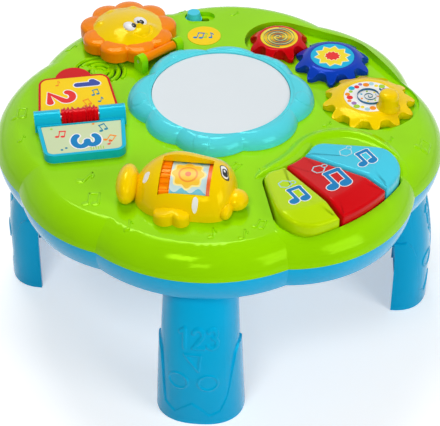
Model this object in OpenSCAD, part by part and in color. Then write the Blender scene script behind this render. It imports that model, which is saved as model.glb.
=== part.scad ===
// Musical activity table for a small child: a lobed play top on four channel legs.
// Origin on the floor under the middle of the table, +Y towards the lion, +Z up. Millimetres.

/* [Table] */
// Height of the legs under the base
leg_h = 107; // [95:1:140]
// Height of the base, from the legs to the seam
base_h = 17; // [15:0.5:24]
// Height of the top, from the seam to its flat face
top_h = 18; // [16:0.5:24]
// Reach of the widest lobe from the middle of the table
table_r = 152.5; // [150:0.5:190]
// Wall of the moulded shells
wall = 2.4; // [2:0.1:3]
// Radius of the rounded rim
rim_r = 22; // [18:0.5:25]
// Angle at which the rim meets the flat top
rim_edge = 12; // [8:1:20]
// Height of the locating lip that the base has inside the seam
lip_h = 4; // [3:0.5:6]

/* [Legs] */
// Azimuth of the first leg
leg_turn = -95.4; // [-110:0.1:-80]
// Width of a leg at the floor
leg_w = 59.4; // [50:0.2:66]
// Width of a leg under the base
leg_top_w = 50; // [44:0.2:56]
// Depth of a leg's channel at the floor
leg_d = 25.6; // [20:0.2:30]
// Depth of a leg's channel under the base
leg_top_d = 22; // [18:0.2:26]
// Distance from a leg's outer face at the floor to the reach of the table
leg_setback = 1.1; // [0.5:0.1:6]
// Distance by which the top of a leg leans in
leg_lean = 12; // [6:0.5:16]
// Height up to which a leg's outer face stands upright
leg_straight_h = 40; // [20:1:60]
// Wall of a leg
leg_wall = 2.6; // [2.2:0.1:3.2]
// Distance of a snap tab from the middle of the leg
tab_y = 8; // [6:0.5:10]
// Width of a snap tab
tab_w = 8; // [5:0.5:9]
// Height of a snap tab over the leg
tab_h = 9; // [7:0.5:11]

/* [Drum] */
// Place of the drum's middle, left to right
drum_x = 1.5; // [-2:0.5:4]
// Place of the drum's middle, front to back
drum_y = 14.5; // [12:0.5:16]
// Radius of the drum skin
skin_r = 47; // [44:0.2:48]
// Reach of the ring's widest lobe
ring_r = 64; // [62:0.2:65]
// Height of the ring over the top
ring_h = 10; // [8:0.2:12]
// Radius of the ring's rounded edge
ring_round = 10.4; // [8:0.2:12]
// Depth of the skin below the ring
skin_sink = 1.5; // [1:0.1:2]
// Thickness of the drum skin
skin_t = 2; // [1.6:0.1:2.6]
// Travel of the drum skin
drum_travel = 2; // [1.5:0.1:2.5]

/* [Gears] */
// Tooth size of the three gears: pitch diameter over teeth
gear_module = 4.88; // [4:0.02:5]
// Teeth of the big, middle and small gears
gear_teeth = [12, 10, 8];
// Place of the middle gear
gear_mid = [80.5, 66.7];
// Direction from the middle gear to the big one
gear_big_turn = -65.1; // [-75:0.1:-60]
// Direction from the middle gear to the small one
gear_small_turn = 147.4; // [140:0.1:155]
// Height of a tooth outside the pitch circle
gear_add = 2.8; // [2.2:0.1:3]
// Depth of a tooth inside the pitch circle
gear_ded = 3.4; // [3:0.1:3.8]
// Share of the pitch that a tooth fills
gear_fill = 0.42; // [0.36:0.01:0.44]
// Height of a gear's toothed rim
gear_rim_h = 5; // [4:0.2:6]
// Height of a gear from its seat to its face
gear_h = 8.4; // [7.5:0.1:10]
// Depth of the gear tray below the top
tray_d = 6; // [4:0.5:8]
// Room round the gears in the tray
tray_gap = 2.4; // [2:0.1:4]
// Radius of a gear's post
post_r = 4; // [3:0.1:5]
// Radii of the face stickers of the big, middle and small gears
gear_face = [17.4, 15.4, 13.4];

/* [Keys] */
// Place of the point from which the keys fan out
key_apex = [20.3, -22.5];
// Direction of the middle key
key_turn = -47.5; // [-50:0.5:-45]
// Angle that each key fills
key_angle = 22; // [20:0.5:23]
// Distance of the keys' inner ends from that point
key_in = 44; // [42:0.5:48]
// Distance of the keys' outer ends from that point
key_out = 107; // [98:0.5:108]
// Height of the keys' inner ends over the top
key_low = 4; // [3:0.2:6]
// Height of the keys' crowns over the top
key_high = 9.5; // [8:0.2:12]
// Radius of the keys' rounded outer ends
key_round = 16; // [12:0.5:18]
// Gap between a key and its neighbour or the well
key_gap = 0.8; // [0.6:0.1:1.2]
// Largest turn of a pressed key
key_press = 3.5; // [2:0.1:4]
// Radius of a key's pin
key_pin_r = 1.5; // [1.2:0.1:2]
// Width of the raised ridge inside the key well
ridge_w = 6.8; // [5:0.2:8]
// Height of the ridge over the top
ridge_h = 1.6; // [0.6:0.1:2]

/* [Fish] */
// Place of the fish's middle
fish_at = [-18, -86];
// Turn of the fish
fish_turn = -7; // [-12:0.5:0]
// Radius of the fish's back
fish_r = 24.5; // [22:0.1:26]
// Wall of the fish
fish_wall = 1.8; // [1.5:0.1:2.2]
// Length of the window over the roller
window_l = 34.5; // [28:0.5:38]
// Angle of the window behind the crown
window_back = 7; // [0:1:15]
// Angle of the window in front of the crown
window_front = 55; // [45:1:65]
// Width of the ribbed grip at the roller's end
grip_l = 6; // [4:0.2:8]
// Radius of the roller's axle
axle_r = 1.5; // [1.2:0.1:2]

/* [Book] */
// Place of the middle of the book's hinge
book_at = [-93, -9];
// Turn of the book
book_turn = 9.3; // [5:0.1:14]
// Radius of the hinge barrel
barrel_r = 6; // [5:0.1:7]
// Length of the hinge barrel
barrel_l = 61; // [56:0.5:64]
// Length of the page's ribbed knuckle
knuckle_l = 25; // [20:0.5:28]
// Depth of the front tray from the hinge
tray_l = 41; // [36:0.5:44]
// Depth of the page from the hinge
page_l = 44; // [38:0.5:46]
// Thickness of the page
page_t = 3.4; // [2.8:0.1:3.6]
// Radius of the book's pin
book_pin_r = 1.6; // [1.3:0.1:2]

/* [Lion] */
// Direction of the lion from the drum
lion_turn = 131; // [125:0.5:137]
// Distance of the lion's middle from the drum's
lion_far = 101; // [99:0.5:104]
// Distance of the lid's hinge from the drum's middle
hinge_far = 66.3; // [66:0.1:68]
// Reach of the mane's lobes
mane_r = 33; // [30:0.2:34]
// Radius of the lion's face
face_r = 26; // [23:0.2:27]
// Height of the pedestal over the top
pedestal_h = 4.4; // [3:0.2:6]
// Height of the mane
mane_h = 6.4; // [5:0.2:8]
// Height of the face over the mane
face_h = 5.6; // [4:0.2:8]
// Length of the lid's hinge barrel
lid_barrel_l = 26; // [20:0.5:28]

/* [Switch and label] */
// Place of the middle of the switch slot
switch_at = [-13.8, 122];
// Length of the switch slot
slot_l = 22; // [20:0.5:24]
// Width of the switch slot
slot_w = 12.4; // [11:0.2:14]
// Radius of the knob at its foot
knob_r = 5.6; // [4.5:0.1:6]
// Travel of the switch
switch_travel = 9; // [6:0.5:10]
// Place of the round label
label_at = [-10.5, 96.5];
// Radius of the round label
label_r = 12; // [10:0.2:13]

/* [Fits] */
// Radial gap of a pin or post in its bore
run_gap = 0.06; // [0.03:0.01:0.1]
// Gap between a piece and its seat
seat_gap = 0.3; // [0.2:0.05:0.4]
// Gap round a sliding piece
slide_gap = 0.5; // [0.4:0.05:0.8]

/* [Hidden] */
$fn = 72;

// Heights
base_z = leg_h;
seam_z = base_z + base_h;
top_z = seam_z + top_h;
floor_z = base_z + wall;
under_z = top_z - wall;

// Lobes of the table, the drum ring and the mane: azimuth, setback from the reach, and how far
// from the middle the lobe's arc has its own middle
TABLE_LOBES = [[-4, 0, 60.5], [39, 2, 62.5], [81, 1, 51.5], [128, 1.5, 50],
               [177, 0, 46.5], [220, 4.5, 60], [262, 3.3, 45], [311, 0, 66]];
RING_LOBES = [[3, 0, 34], [44, 4, 26], [82, 3, 31], [127, 0.5, 31.5],
              [178, 0, 34], [221, 5, 33], [261, 3, 31], [312, 3, 28]];
MANE_LOBES = [for (i = [0:8]) [i * 40 + 10, 0, 20]];

function at_angle(a, r = 1) = [r * cos(a), r * sin(a)];
function lobe_mid(lobe) = at_angle(lobe[0], lobe[2]);
function lobe_r(lobe, reach) = reach - lobe[1] - lobe[2];

// Azimuth of the crease where two neighbouring lobes cross
function crease(lobe, next, reach) =
  let (p = lobe_mid(lobe), q = lobe_mid(next), r = lobe_r(lobe, reach), d = norm(q - p),
       u = (q - p) / d, a = (pow(r, 2) - pow(lobe_r(next, reach), 2) + d * d) / (2 * d),
       far = p + a * u + sqrt(r * r - a * a) * [u[1], -u[0]])
  atan2(far[1], far[0]);

// How far neighbouring lobes run into each other, in degrees, so that they join along a true crease
lap = 2;
// Reach of a cutter that only has to be larger than anything it cuts
big = 400;
// How far a half section runs past the ends of its solid, where lobed cuts it off
over = 9;

// The space between two azimuths outside the core, from z0 to z1
module wedge(from, to, z0, z1, core) {
  translate([0, 0, z0])
    linear_extrude(z1 - z0)
      polygon([at_angle(from, core), at_angle(from, big), at_angle((from + to) / 2, big), at_angle(to, big),
               at_angle(to, core)]);
}

// A solid with lobes: the child is a half section that reads $lobe_r, turned about each lobe's own
// middle. Each lobe runs a little past its neighbours and past both ends, and the ends are cut last
module lobed(lobes, reach, z0, z1) {
  n = len(lobes);
  core = reach * 0.45;
  intersection() {
    translate([0, 0, z0]) cylinder(r = big, h = z1 - z0);
    union() {
      translate([0, 0, z0 - 0.5]) cylinder(r = core * 1.3, h = z1 - z0 + 1);
      for (i = [0:n - 1]) {
        lobe = lobes[i];
        from = crease(lobes[(i + n - 1) % n], lobe, reach) - lap;
        to = crease(lobe, lobes[(i + 1) % n], reach) + lap;
        past = 1 + 0.3 * i;
        $lobe_r = lobe_r(lobe, reach);
        intersection() {
          rotate(lobe[0])
            translate([lobe[2], 0, 0])
              rotate_extrude($fn = 120) children();
          wedge(from, to < from ? to + 360 : to, z0 - past, z1 + past, core);
        }
      }
    }
  }
}

// Half section of a disc with a rounded upper edge that meets the top at a slight angle
module rounded_section(r, z0, z1, round_r, edge) {
  foot = z0 - over;
  mid_z = z1 - round_r * cos(edge);
  translate([0, foot]) square([r - round_r, z1 + over - foot]);
  translate([0, foot]) square([r, mid_z - foot]);
  intersection() {
    translate([0, foot]) square([r, z1 + over - foot]);
    translate([r - round_r, mid_z]) circle(round_r);
  }
}

// Half section of the base: its side curves gently in towards the bottom
base_curve = 40;
module base_section(inset, z0, z1) {
  r = $lobe_r - inset;
  foot = z0 - over;
  translate([0, foot]) square([r - base_curve / 2, z1 + over - foot]);
  intersection() {
    translate([0, foot]) square([r, z1 + over - foot]);
    translate([r - base_curve, z1]) circle(base_curve);
  }
}

function unit(v) = v / norm(v);
function left_of(v) = [-v[1], v[0]];

// An outline that turns left all the way, with its corners rounded, and grown all round
module rounded_outline(points, r, grow = 0) {
  n = len(points);
  corners = [for (i = [0:n - 1])
    let (a = left_of(unit(points[i] - points[(i + n - 1) % n])),
         b = left_of(unit(points[(i + 1) % n] - points[i])),
         mid = points[i] + r * (a + b) / (1 + a * b))
    [mid, mid - (r + grow) * a, mid - (r + grow) * b]];
  for (c = corners) translate(c[0]) circle(r + grow);
  polygon([for (c = corners) for (p = [c[1], c[2]]) p]);
}

module obround(l, w) {
  for (side = [-1, 1]) translate([side * (l - w) / 2, 0]) circle(w / 2);
  square([l - w, w], center = true);
}

module tube(r_out, r_in, h) {
  difference() {
    cylinder(r = r_out, h = h);
    translate([0, 0, -1]) cylinder(r = r_in, h = h + 2);
  }
}

// A rod along X, centred
module rod_x(r, l) rotate([0, 90, 0]) cylinder(r = r, h = l, center = true);
module rod_y(r, l) rotate([90, 0, 0]) cylinder(r = r, h = l, center = true);

/* ---------- places ---------- */

function pitch_r(i) = gear_module * gear_teeth[i] / 2;
function tip_r(i) = pitch_r(i) + gear_add;
GEAR_AT = [gear_mid + at_angle(gear_big_turn, pitch_r(0) + pitch_r(1)),
           gear_mid,
           gear_mid + at_angle(gear_small_turn, pitch_r(1) + pitch_r(2))];
// Turn of each gear at rest, so that the teeth mesh
big_phase = -85.3;
function mesh_phase(phase, teeth, turn, next_teeth) =
  let (step = 360 / teeth, lead = round((turn - phase) / step) * step + phase - turn)
  turn + 180 - lead * teeth / next_teeth + 180 / next_teeth;
mid_phase = mesh_phase(big_phase, gear_teeth[0], gear_big_turn + 180, gear_teeth[1]);
small_phase = mesh_phase(mid_phase, gear_teeth[1], gear_small_turn, gear_teeth[2]);
GEAR_PHASE = [big_phase, mid_phase, small_phase];
tray_z = top_z - tray_d;
gear_z = tray_z + seat_gap;
// Top of a gear's post, under the washer that holds the gear down
post_z = tray_z + gear_h - 2.4;

lion_yaw = lion_turn - 90;
lion_at = [drum_x, drum_y] + at_angle(lion_turn, lion_far);
lid_arm = lion_far - hinge_far;
lid_z = top_z + pedestal_h + seat_gap;
lion_axis_z = lid_z + 3.4;
lid_barrel_r = 3.2;
lion_pin_r = 1.3;
ear_l = 5.5;

barrel_z = top_z + barrel_r;
roller_r = fish_r - fish_wall - slide_gap;
roller_l = window_l + 1.2;
// Length of the space in the fish, with a bracket at each end of the roller
bay_l = roller_l + 2 * (seat_gap + fish_wall);

module at_drum() translate([drum_x, drum_y, 0]) children();
module at_gear(i) translate(concat(GEAR_AT[i], 0)) rotate(GEAR_PHASE[i]) children();
module at_keys() translate(concat(key_apex, 0)) rotate(key_turn) children();
module at_fish() translate(concat(fish_at, top_z)) rotate(fish_turn) children();
module at_book() translate(concat(book_at, 0)) rotate(book_turn) children();
module at_lion() translate(concat(lion_at, 0)) rotate(lion_yaw) children();
module at_switch() translate(concat(switch_at, 0)) children();

/* ---------- shells ---------- */

// Angles of the case screws and their distance from the middle
SCREW_ANGLES = [-120, -20, 32, 60, 113, 149, 199];
screw_in = 25;
boss_r = 4;
screw_r = 1.3;
module at_screws() for (a = SCREW_ANGLES) rotate(a) translate([table_r - screw_in, 0, 0]) children();

battery_at = [-68, -4];
battery_r = 7.25;
battery_l = 50.5;
nub_l = 1.2;
battery_pitch = 15.5;
contact_t = 0.5;
spring_l = 4;
box_w = 3 * battery_pitch + 2;
box_l = battery_l + spring_l + 2 * contact_t;
box_top = floor_z + 2 * battery_r + 1.2;
door_t = 1.1;
door_screw = battery_at + [box_l / 2 + 4.5, 0];
module door_plan(grow) {
  l = box_l + 1.8 + 2 * grow;
  w = box_w + 1.8 + 2 * grow;
  translate(battery_at - [l / 2, w / 2]) square([l, w]);
  translate(door_screw) circle(4.2 + grow);
}
speaker_at = [-84, 51];
speaker_r = 18;

// Two circles and the band between their outer tangents, its sides drawn a hair inside them
module belt(p, r, q, s) {
  turn = atan2(q[1] - p[1], q[0] - p[0]);
  side = acos((r - s) / norm(q - p));
  hair = 0.02;
  translate(p) circle(r);
  translate(q) circle(s);
  polygon([p + at_angle(turn - side, r - hair), q + at_angle(turn - side, s - hair),
           q + at_angle(turn + side, s - hair), p + at_angle(turn + side, r - hair)]);
}

// Plan of the gear tray: round each gear, and filled between them
module tray_plan(grow) {
  room = tray_gap + grow;
  for (i = [0:1]) belt(GEAR_AT[i], tip_r(i) + room, GEAR_AT[i + 1], tip_r(i + 1) + room);
}

// Plan of the fan of keys, with round corners
fan_corner = 9;
module fan_plan(grow) {
  half = 1.5 * key_angle;
  far = 2 * key_out;
  inner = half - asin(fan_corner / (key_in + fan_corner));
  outer = half - asin(fan_corner / (key_out - fan_corner));
  round_r = fan_corner + grow;
  intersection() {
    difference() {
      circle(key_out + grow);
      circle(key_in - grow);
    }
    polygon([[0, 0], at_angle(-inner, far), at_angle(inner, far)]);
  }
  for (side = [-1, 1]) {
    p = at_angle(side * inner, key_in + fan_corner);
    q = at_angle(side * outer, key_out - fan_corner);
    across = at_angle(side * (half + 90), round_r);
    inside = side * (inner - 3);
    intersection() {
      circle(key_out + grow);
      polygon([at_angle(inside, key_in + fan_corner), p, p + across, q + across, q,
               at_angle(side * outer, far), at_angle(inside, far)]);
    }
    translate(p) circle(round_r);
    translate(q) circle(round_r);
  }
}

module roller_hole() {
  l = bay_l + 2 * seat_gap;
  w = 2 * (roller_r + slide_gap);
  at_fish() translate([-l / 2, -w / 2, -wall - 1]) cube([l, w, wall + 2]);
}

// Plinth under the lion, set in from the mane, with the mirror in its top
pedestal_in = 4;
mirror_r = 20;
mirror_seat_z = top_z + pedestal_h - 1.4;
module pedestal() {
  at_lion()
    translate([0, 0, top_z - 1]) {
      cylinder(r = mirror_r, h = pedestal_h + 1);
      linear_extrude(pedestal_h + 1)
        for (lobe = MANE_LOBES) translate(lobe_mid(lobe)) circle(lobe_r(lobe, mane_r) - pedestal_in);
    }
}

ear_r = 4.4;
module lion_ears() {
  at_lion()
    for (side = [-1, 1])
      translate([side * (lid_barrel_l / 2 + slide_gap + ear_l / 2), -lid_arm, 0]) {
        translate([0, 0, lion_axis_z]) rod_x(ear_r, ear_l);
        translate([-ear_l / 2, -ear_r, top_z - 0.5]) cube([ear_l, 2 * ear_r, lion_axis_z - top_z + 0.5]);
      }
}

// Curved sound slots over the speaker
slot_rows = [7, 11.5, 16];
slot_open = 1.4;
module speaker_slots() {
  translate(concat(speaker_at, under_z - 1))
    for (r = slot_rows, part = [0:2])
      rotate(part * 120 + r * 5)
        rotate_extrude(angle = 84) translate([r - slot_open / 2, 0]) square([slot_open, wall + 2]);
}

module key_ears() {
  at_keys()
    for (i = [-1:1], side = [-1, 1])
      rotate(i * key_angle)
        translate([key_in - 8, side * 5.7 - 1.5, key_axis_z - 4]) cube([7, 3, under_z - key_axis_z + 4.4]);
}

module top_shell() color([0.5, 0.86, 0.02]) {
  difference() {
    union() {
      difference() {
        lobed(TABLE_LOBES, table_r, seam_z, top_z) rounded_section($lobe_r, seam_z, top_z, rim_r, rim_edge);
        difference() {
          lobed(TABLE_LOBES, table_r, seam_z - 1, under_z)
            rounded_section($lobe_r - wall, seam_z - 1, under_z, rim_r - wall, rim_edge);
          translate([0, 0, tray_z - wall]) linear_extrude(tray_d + 1) tray_plan(wall);
        }
      }
      pedestal();
      lion_ears();
      key_ridge();
      for (i = [0:2])
        translate(concat(GEAR_AT[i], tray_z - wall)) cylinder(r = post_r, h = post_z - tray_z + wall);
      at_screws() translate([0, 0, floor_z + seat_gap]) cylinder(r = boss_r, h = under_z - floor_z);
      key_ears();
      at_switch() {
        translate([0, 0, slot_z - wall]) linear_extrude(under_z - slot_z + wall + 0.5)
          obround(slot_l + 2 * wall, slot_w + 2 * wall);
        for (side = [-1, 1])
          translate([side * 9.5, 0, switch_z]) cylinder(r = 1.6, h = slot_z - switch_z);
      }
      translate(concat(speaker_at, under_z - 8))
        tube(speaker_r + slide_gap + 1.6, speaker_r + slide_gap, 8.4);
    }
    difference() {
      translate([0, 0, tray_z]) linear_extrude(tray_d + 9) tray_plan(0);
      for (i = [0:2])
        translate(concat(GEAR_AT[i], tray_z - 1)) cylinder(r = post_r, h = post_z - tray_z + 1);
    }
    for (i = [0:2])
      translate(concat(GEAR_AT[i], tray_z - wall - 1)) cylinder(r = screw_r, h = 20);
    at_drum() translate([0, 0, under_z - 1]) cylinder(r = skin_r + 2.8, h = wall + 3);
    at_keys() translate([0, 0, under_z - 9]) linear_extrude(25) fan_plan(key_gap);
    at_keys()
      for (i = [-1:1])
        rotate(i * key_angle)
          translate([key_axis_r, 0, key_axis_z]) rod_y(key_pin_r + run_gap, 16);
    roller_hole();
    speaker_slots();
    at_screws() translate([0, 0, floor_z - 1]) cylinder(r = screw_r, h = 14);
    at_lion() translate([0, -lid_arm, lion_axis_z]) rod_x(lion_pin_r + run_gap, lid_barrel_l + 2 * ear_l + 4);
    at_lion() translate([0, 0, mirror_seat_z]) cylinder(r = mirror_r + slide_gap, h = 3);
    at_switch() {
      translate([0, 0, slot_z]) linear_extrude(slot_d + 1) obround(slot_l, slot_w);
      translate([0, 0, slot_z - wall - 1]) linear_extrude(wall + 2) obround(switch_travel + 5, 4.6);
    }
    translate(concat(label_at, top_z - 0.4)) cylinder(r = label_r + 0.2, h = 2);
  }
}

// Raised ridge along the inner side of the key well
module key_ridge() {
  foot = ridge_w / 2;
  crown = foot - 1.4;
  at_keys()
    translate([0, 0, top_z])
      rotate(-1.5 * key_angle)
        rotate_extrude(angle = 3 * key_angle)
          translate([key_in - key_gap - foot - 0.2, 0])
            polygon([[-foot, -3], [foot, -3], [foot, 0.3],
                     [crown, ridge_h], [-crown, ridge_h], [-foot, 0.3]]);
}

// How far the lip of the base stands back from the reach, to clear the rounded inside of the top
inner_rim = rim_r - wall;
lip_back = wall + inner_rim + slide_gap
  - sqrt(inner_rim * inner_rim - pow(seam_z + lip_h - under_z + inner_rim * cos(rim_edge), 2));

module base_shell() color([0.0, 0.58, 0.72]) {
  difference() {
    union() {
      difference() {
        union() {
          lobed(TABLE_LOBES, table_r, base_z, seam_z) base_section(0.6, base_z, seam_z);
          lobed(TABLE_LOBES, table_r, seam_z - 1, seam_z + lip_h)
            square([$lobe_r - lip_back, 2 * seam_z]);
        }
        lobed(TABLE_LOBES, table_r, floor_z, seam_z + lip_h + 1)
          square([$lobe_r - lip_back - wall, 2 * seam_z]);
      }
      translate(concat(battery_at - [box_l / 2 + wall, box_w / 2 + wall], base_z))
        cube([box_l + 2 * wall, box_w + 2 * wall, box_top + wall - base_z]);
      at_screws() translate([0, 0, base_z]) cylinder(r = boss_r + 1, h = wall);
      board_posts();
      translate(concat(door_screw, base_z)) cylinder(r = 3.4, h = 9);
    }
    translate(concat(battery_at - [box_l / 2, box_w / 2], base_z - 1))
      cube([box_l, box_w, box_top - base_z + 1]);
    translate([0, 0, base_z - 1]) linear_extrude(1 + door_t + 0.1) door_plan(seat_gap);
    translate(concat(door_screw, base_z - 1)) cylinder(r = screw_r, h = 9);
    at_screws() {
      translate([0, 0, base_z - 1]) cylinder(r = screw_r + 0.4, h = wall + 2);
      translate([0, 0, base_z - 1]) cylinder(r = 3, h = 2.2);
    }
    for (k = [0:3]) leg_slots(k);
  }
}

/* ---------- legs ---------- */

leg_n = 2.4;
leg_steps = 20;
LEG_LEVELS = [for (i = [0:7]) i * leg_h / 7];
// How far a leg has leaned in at a height, from nothing to all
function lean(z) = z < leg_straight_h ? 0 : pow((z - leg_straight_h) / (leg_h - leg_straight_h), 1.5);
function mix(a, b, t) = a + (b - a) * t;
function bend(v) = sign(v) * pow(abs(v), 2 / leg_n);
// One point of the channel's outline: t runs from one edge round the front to the other
function leg_point(t, z, inset) =
  let (k = lean(z), w = mix(leg_w, leg_top_w, z / leg_h) / 2 - inset,
       d = mix(leg_d, leg_top_d, k),
       front = table_r - leg_setback - leg_lean * k, a = mix(-90, 90, t / leg_steps))
  [front - d + bend(cos(a)) * (d - inset), bend(sin(a)) * w, z];
function leg_ring(z) = concat([for (t = [0:leg_steps]) leg_point(t, z, 0)],
                              [for (t = [leg_steps:-1:0]) leg_point(t, z, leg_wall)]);
ring_n = 2 * (leg_steps + 1);
// Middle of a leg's wall at its top, at the outer edge of a snap tab
tab_edge = tab_y + tab_w / 2;
tab_x = let (d = leg_top_d - leg_wall / 2, w = leg_top_w / 2 - leg_wall / 2)
  table_r - leg_setback - leg_lean - leg_top_d + d * pow(1 - pow(tab_edge / w, leg_n), 1 / leg_n);
tab_t = 2;
hook = 0.9;

module leg(k) color([0.0, 0.66, 0.82]) {
  last = len(LEG_LEVELS) - 1;
  rotate(leg_turn + 90 * k) {
    polyhedron(
      points = [for (z = LEG_LEVELS) for (p = leg_ring(z)) p],
      faces = concat(
        [[for (i = [0:ring_n - 1]) i]],
        [[for (i = [ring_n - 1:-1:0]) last * ring_n + i]],
        [for (j = [0:last - 1], i = [0:ring_n - 1])
          [j * ring_n + i, (j + 1) * ring_n + i, (j + 1) * ring_n + (i + 1) % ring_n,
           j * ring_n + (i + 1) % ring_n]]),
      convexity = 6);
    for (side = [-1, 1])
      translate([tab_x - tab_t / 2, side * tab_y - tab_w / 2, leg_h - 5]) {
        cube([tab_t, tab_w, tab_h + 5]);
        translate([-hook, 0, 5 + wall + seat_gap]) cube([hook + 0.1, tab_w, 1.6]);
      }
  }
}

module leg_slots(k) {
  rotate(leg_turn + 90 * k)
    for (side = [-1, 1])
      translate([tab_x - tab_t / 2 - hook - slide_gap, side * tab_y - tab_w / 2 - slide_gap, base_z - 1])
        cube([tab_t + hook + 2 * slide_gap, tab_w + 2 * slide_gap, wall + 2]);
}

module leg_front() leg(0);
module leg_right() leg(1);
module leg_back() leg(2);
module leg_left() leg(3);

/* ---------- inside ---------- */

board_z = base_z + 14;
board_t = 1.6;
board_w = 76;
board_d = 66;
key_board_z = base_z + 11;
key_dome_r = 84;
POSTS = [for (x = [-1, 1], y = [-1, 1]) [x * (board_w / 2 - 5), y * (board_d / 2 - 5)]];

module board_posts() {
  at_drum() for (p = POSTS) translate(concat(p, floor_z - 0.5)) cylinder(r = 3, h = board_z - floor_z + 0.5);
  at_keys()
    for (i = [-1, 1])
      translate([key_dome_r, i * 24, floor_z - 0.5]) cylinder(r = 3, h = key_board_z - floor_z + 0.5);
}

module circuit_board() color([0.05, 0.4, 0.15]) at_drum() {
  translate([-board_w / 2, -board_d / 2, board_z]) cube([board_w, board_d, board_t]);
  for (c = [[-8, -6, 16, 12], [20, -12, 9, 8], [-30, -10, 8, 12]])
    translate([c[0], c[1], board_z + board_t - 0.1]) cube([c[2], c[3], 2]);
}

LAMPS = [for (i = [0:3]) at_angle(45 + 90 * i, 19)];
module led_lamps() color([0.95, 0.4, 0.35]) at_drum()
  for (p = LAMPS)
    translate(concat(p, board_z + board_t)) {
      cylinder(r = 2.9, h = 1);
      cylinder(r = 2.5, h = 5.5);
      translate([0, 0, 5.5]) sphere(2.5, $fn = 32);
    }

PLUNGERS = [for (i = [0:2]) at_angle(30 + 120 * i, 33)];
dome_h = 2.6;
module drum_domes() color([0.85, 0.85, 0.8]) at_drum()
  for (p = PLUNGERS) translate(concat(p, board_z + board_t)) cylinder(r1 = 4, r2 = 2.6, h = dome_h);

module speaker() color([0.2, 0.2, 0.22]) translate(concat(speaker_at, under_z - seat_gap)) {
  translate([0, 0, -3]) cylinder(r = speaker_r, h = 3);
  translate([0, 0, -8]) cylinder(r1 = 9.5, r2 = 15, h = 5.1);
  translate([0, 0, -13]) cylinder(r = 9.5, h = 5.1);
}

module speaker_clamp() color([0.9, 0.9, 0.92]) translate(concat(speaker_at, under_z - 8.4)) {
  translate([0, 0, -1.4]) tube(speaker_r + 3.6, 11.4, 1.4);
  tube(speaker_r - 0.4, speaker_r - 2, 8.4 - 3 - 2 * seat_gap);
}

module case_screws() color([0.6, 0.6, 0.62]) at_screws() translate([0, 0, base_z + 1.2 - 2]) {
  cylinder(r = 2.8, h = 2);
  cylinder(r = screw_r - 0.02, h = 10);
}

module battery_door() color([0.0, 0.55, 0.7]) difference() {
  translate([0, 0, base_z]) linear_extrude(door_t) door_plan(0);
  translate(concat(door_screw, base_z - 1)) cylinder(r = screw_r + 0.4, h = 4);
  translate(concat(battery_at, base_z - 0.1))
    for (i = [-2:2]) translate([-box_l / 2 + 5, i * 4 - 0.6, 0]) cube([9, 1.2, 0.5]);
}

module battery_door_screw() color([0.6, 0.6, 0.62])
  translate(concat(door_screw, base_z - 1.2)) {
    cylinder(r = 2.8, h = 1.2);
    cylinder(r = screw_r - 0.02, h = 8);
  }

// Places a cell's plus end at the wall of the box, turned about for every other cell
module at_cells()
  for (i = [-1:1])
    translate(concat(battery_at + [0, i * battery_pitch], base_z + 1.4 + battery_r))
      rotate(i == 0 ? 180 : 0) translate([box_l / 2 - contact_t, 0, 0]) children();

module batteries() color([0.15, 0.15, 0.17]) at_cells() {
  translate([-nub_l / 2, 0, 0]) rod_x(2.7, nub_l);
  translate([-(battery_l + nub_l) / 2, 0, 0]) rod_x(battery_r, battery_l - nub_l);
}

// A flat plate for the plus end and a plate with a spring for the other
module battery_contacts() color([0.8, 0.8, 0.82]) at_cells() {
  translate([contact_t / 2, 0, 0]) cube([contact_t, 11, 10], center = true);
  translate([-battery_l - spring_l, 0, 0]) {
    translate([-contact_t / 2, 0, 0]) cube([contact_t, 11, 10], center = true);
    rotate([0, 90, 0]) cylinder(r1 = 4.4, r2 = 2.6, h = spring_l);
  }
}

module label_disc() color([1, 0.85, 0.05])
  translate(concat(label_at, top_z - 0.4)) cylinder(r = label_r, h = 0.7);

/* ---------- drum ---------- */

neck_r = skin_r + 2.4;
ring_top = top_z + ring_h;
// Half section of a lobe of the ring: its edge is one arc from foot to top
module ring_section(r) {
  foot = top_z - over;
  translate([0, foot]) square([r - ring_round, ring_h + 2 * over]);
  intersection() {
    translate([0, foot]) square([r + 1, ring_h + 2 * over]);
    translate([r - ring_round, ring_top - ring_round * cos(rim_edge)]) circle(ring_round);
  }
}

module drum_ring() color([0.36, 0.83, 0.9]) at_drum() difference() {
  union() {
    intersection() {
      translate([0, 0, top_z]) cylinder(r = big, h = ring_h);
      union()
        for (lobe = RING_LOBES)
          rotate(lobe[0])
            translate([lobe[2], 0, 0])
              rotate_extrude($fn = 120) ring_section(lobe_r(lobe, ring_r));
    }
    translate([0, 0, top_z - 6]) cylinder(r = neck_r, h = 7);
  }
  translate([0, 0, top_z - 3]) cylinder(r = skin_r + seat_gap, h = ring_h + 4);
  translate([0, 0, top_z - 7]) cylinder(r = skin_r - 2, h = 8);
}

reflector_z = board_z + board_t + 4.4;
module drum_reflector() color([0.93, 0.94, 0.95]) at_drum() difference() {
  union() {
    translate([0, 0, top_z - 3 + seat_gap]) cylinder(r = skin_r - 0.1, h = 1.4);
    translate([0, 0, reflector_z])
      cylinder(r1 = 38, r2 = skin_r - 3, h = top_z - 3 + seat_gap - reflector_z + 0.2);
  }
  translate([0, 0, reflector_z + 1.4]) cylinder(r1 = 36.6, r2 = skin_r - 4, h = top_z - reflector_z);
  for (p = LAMPS) translate(concat(p, reflector_z - 1)) cylinder(r = 3.3, h = 4);
  for (p = PLUNGERS) translate(concat(p, reflector_z - 1)) cylinder(r = 3.3, h = 4);
}

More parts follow.
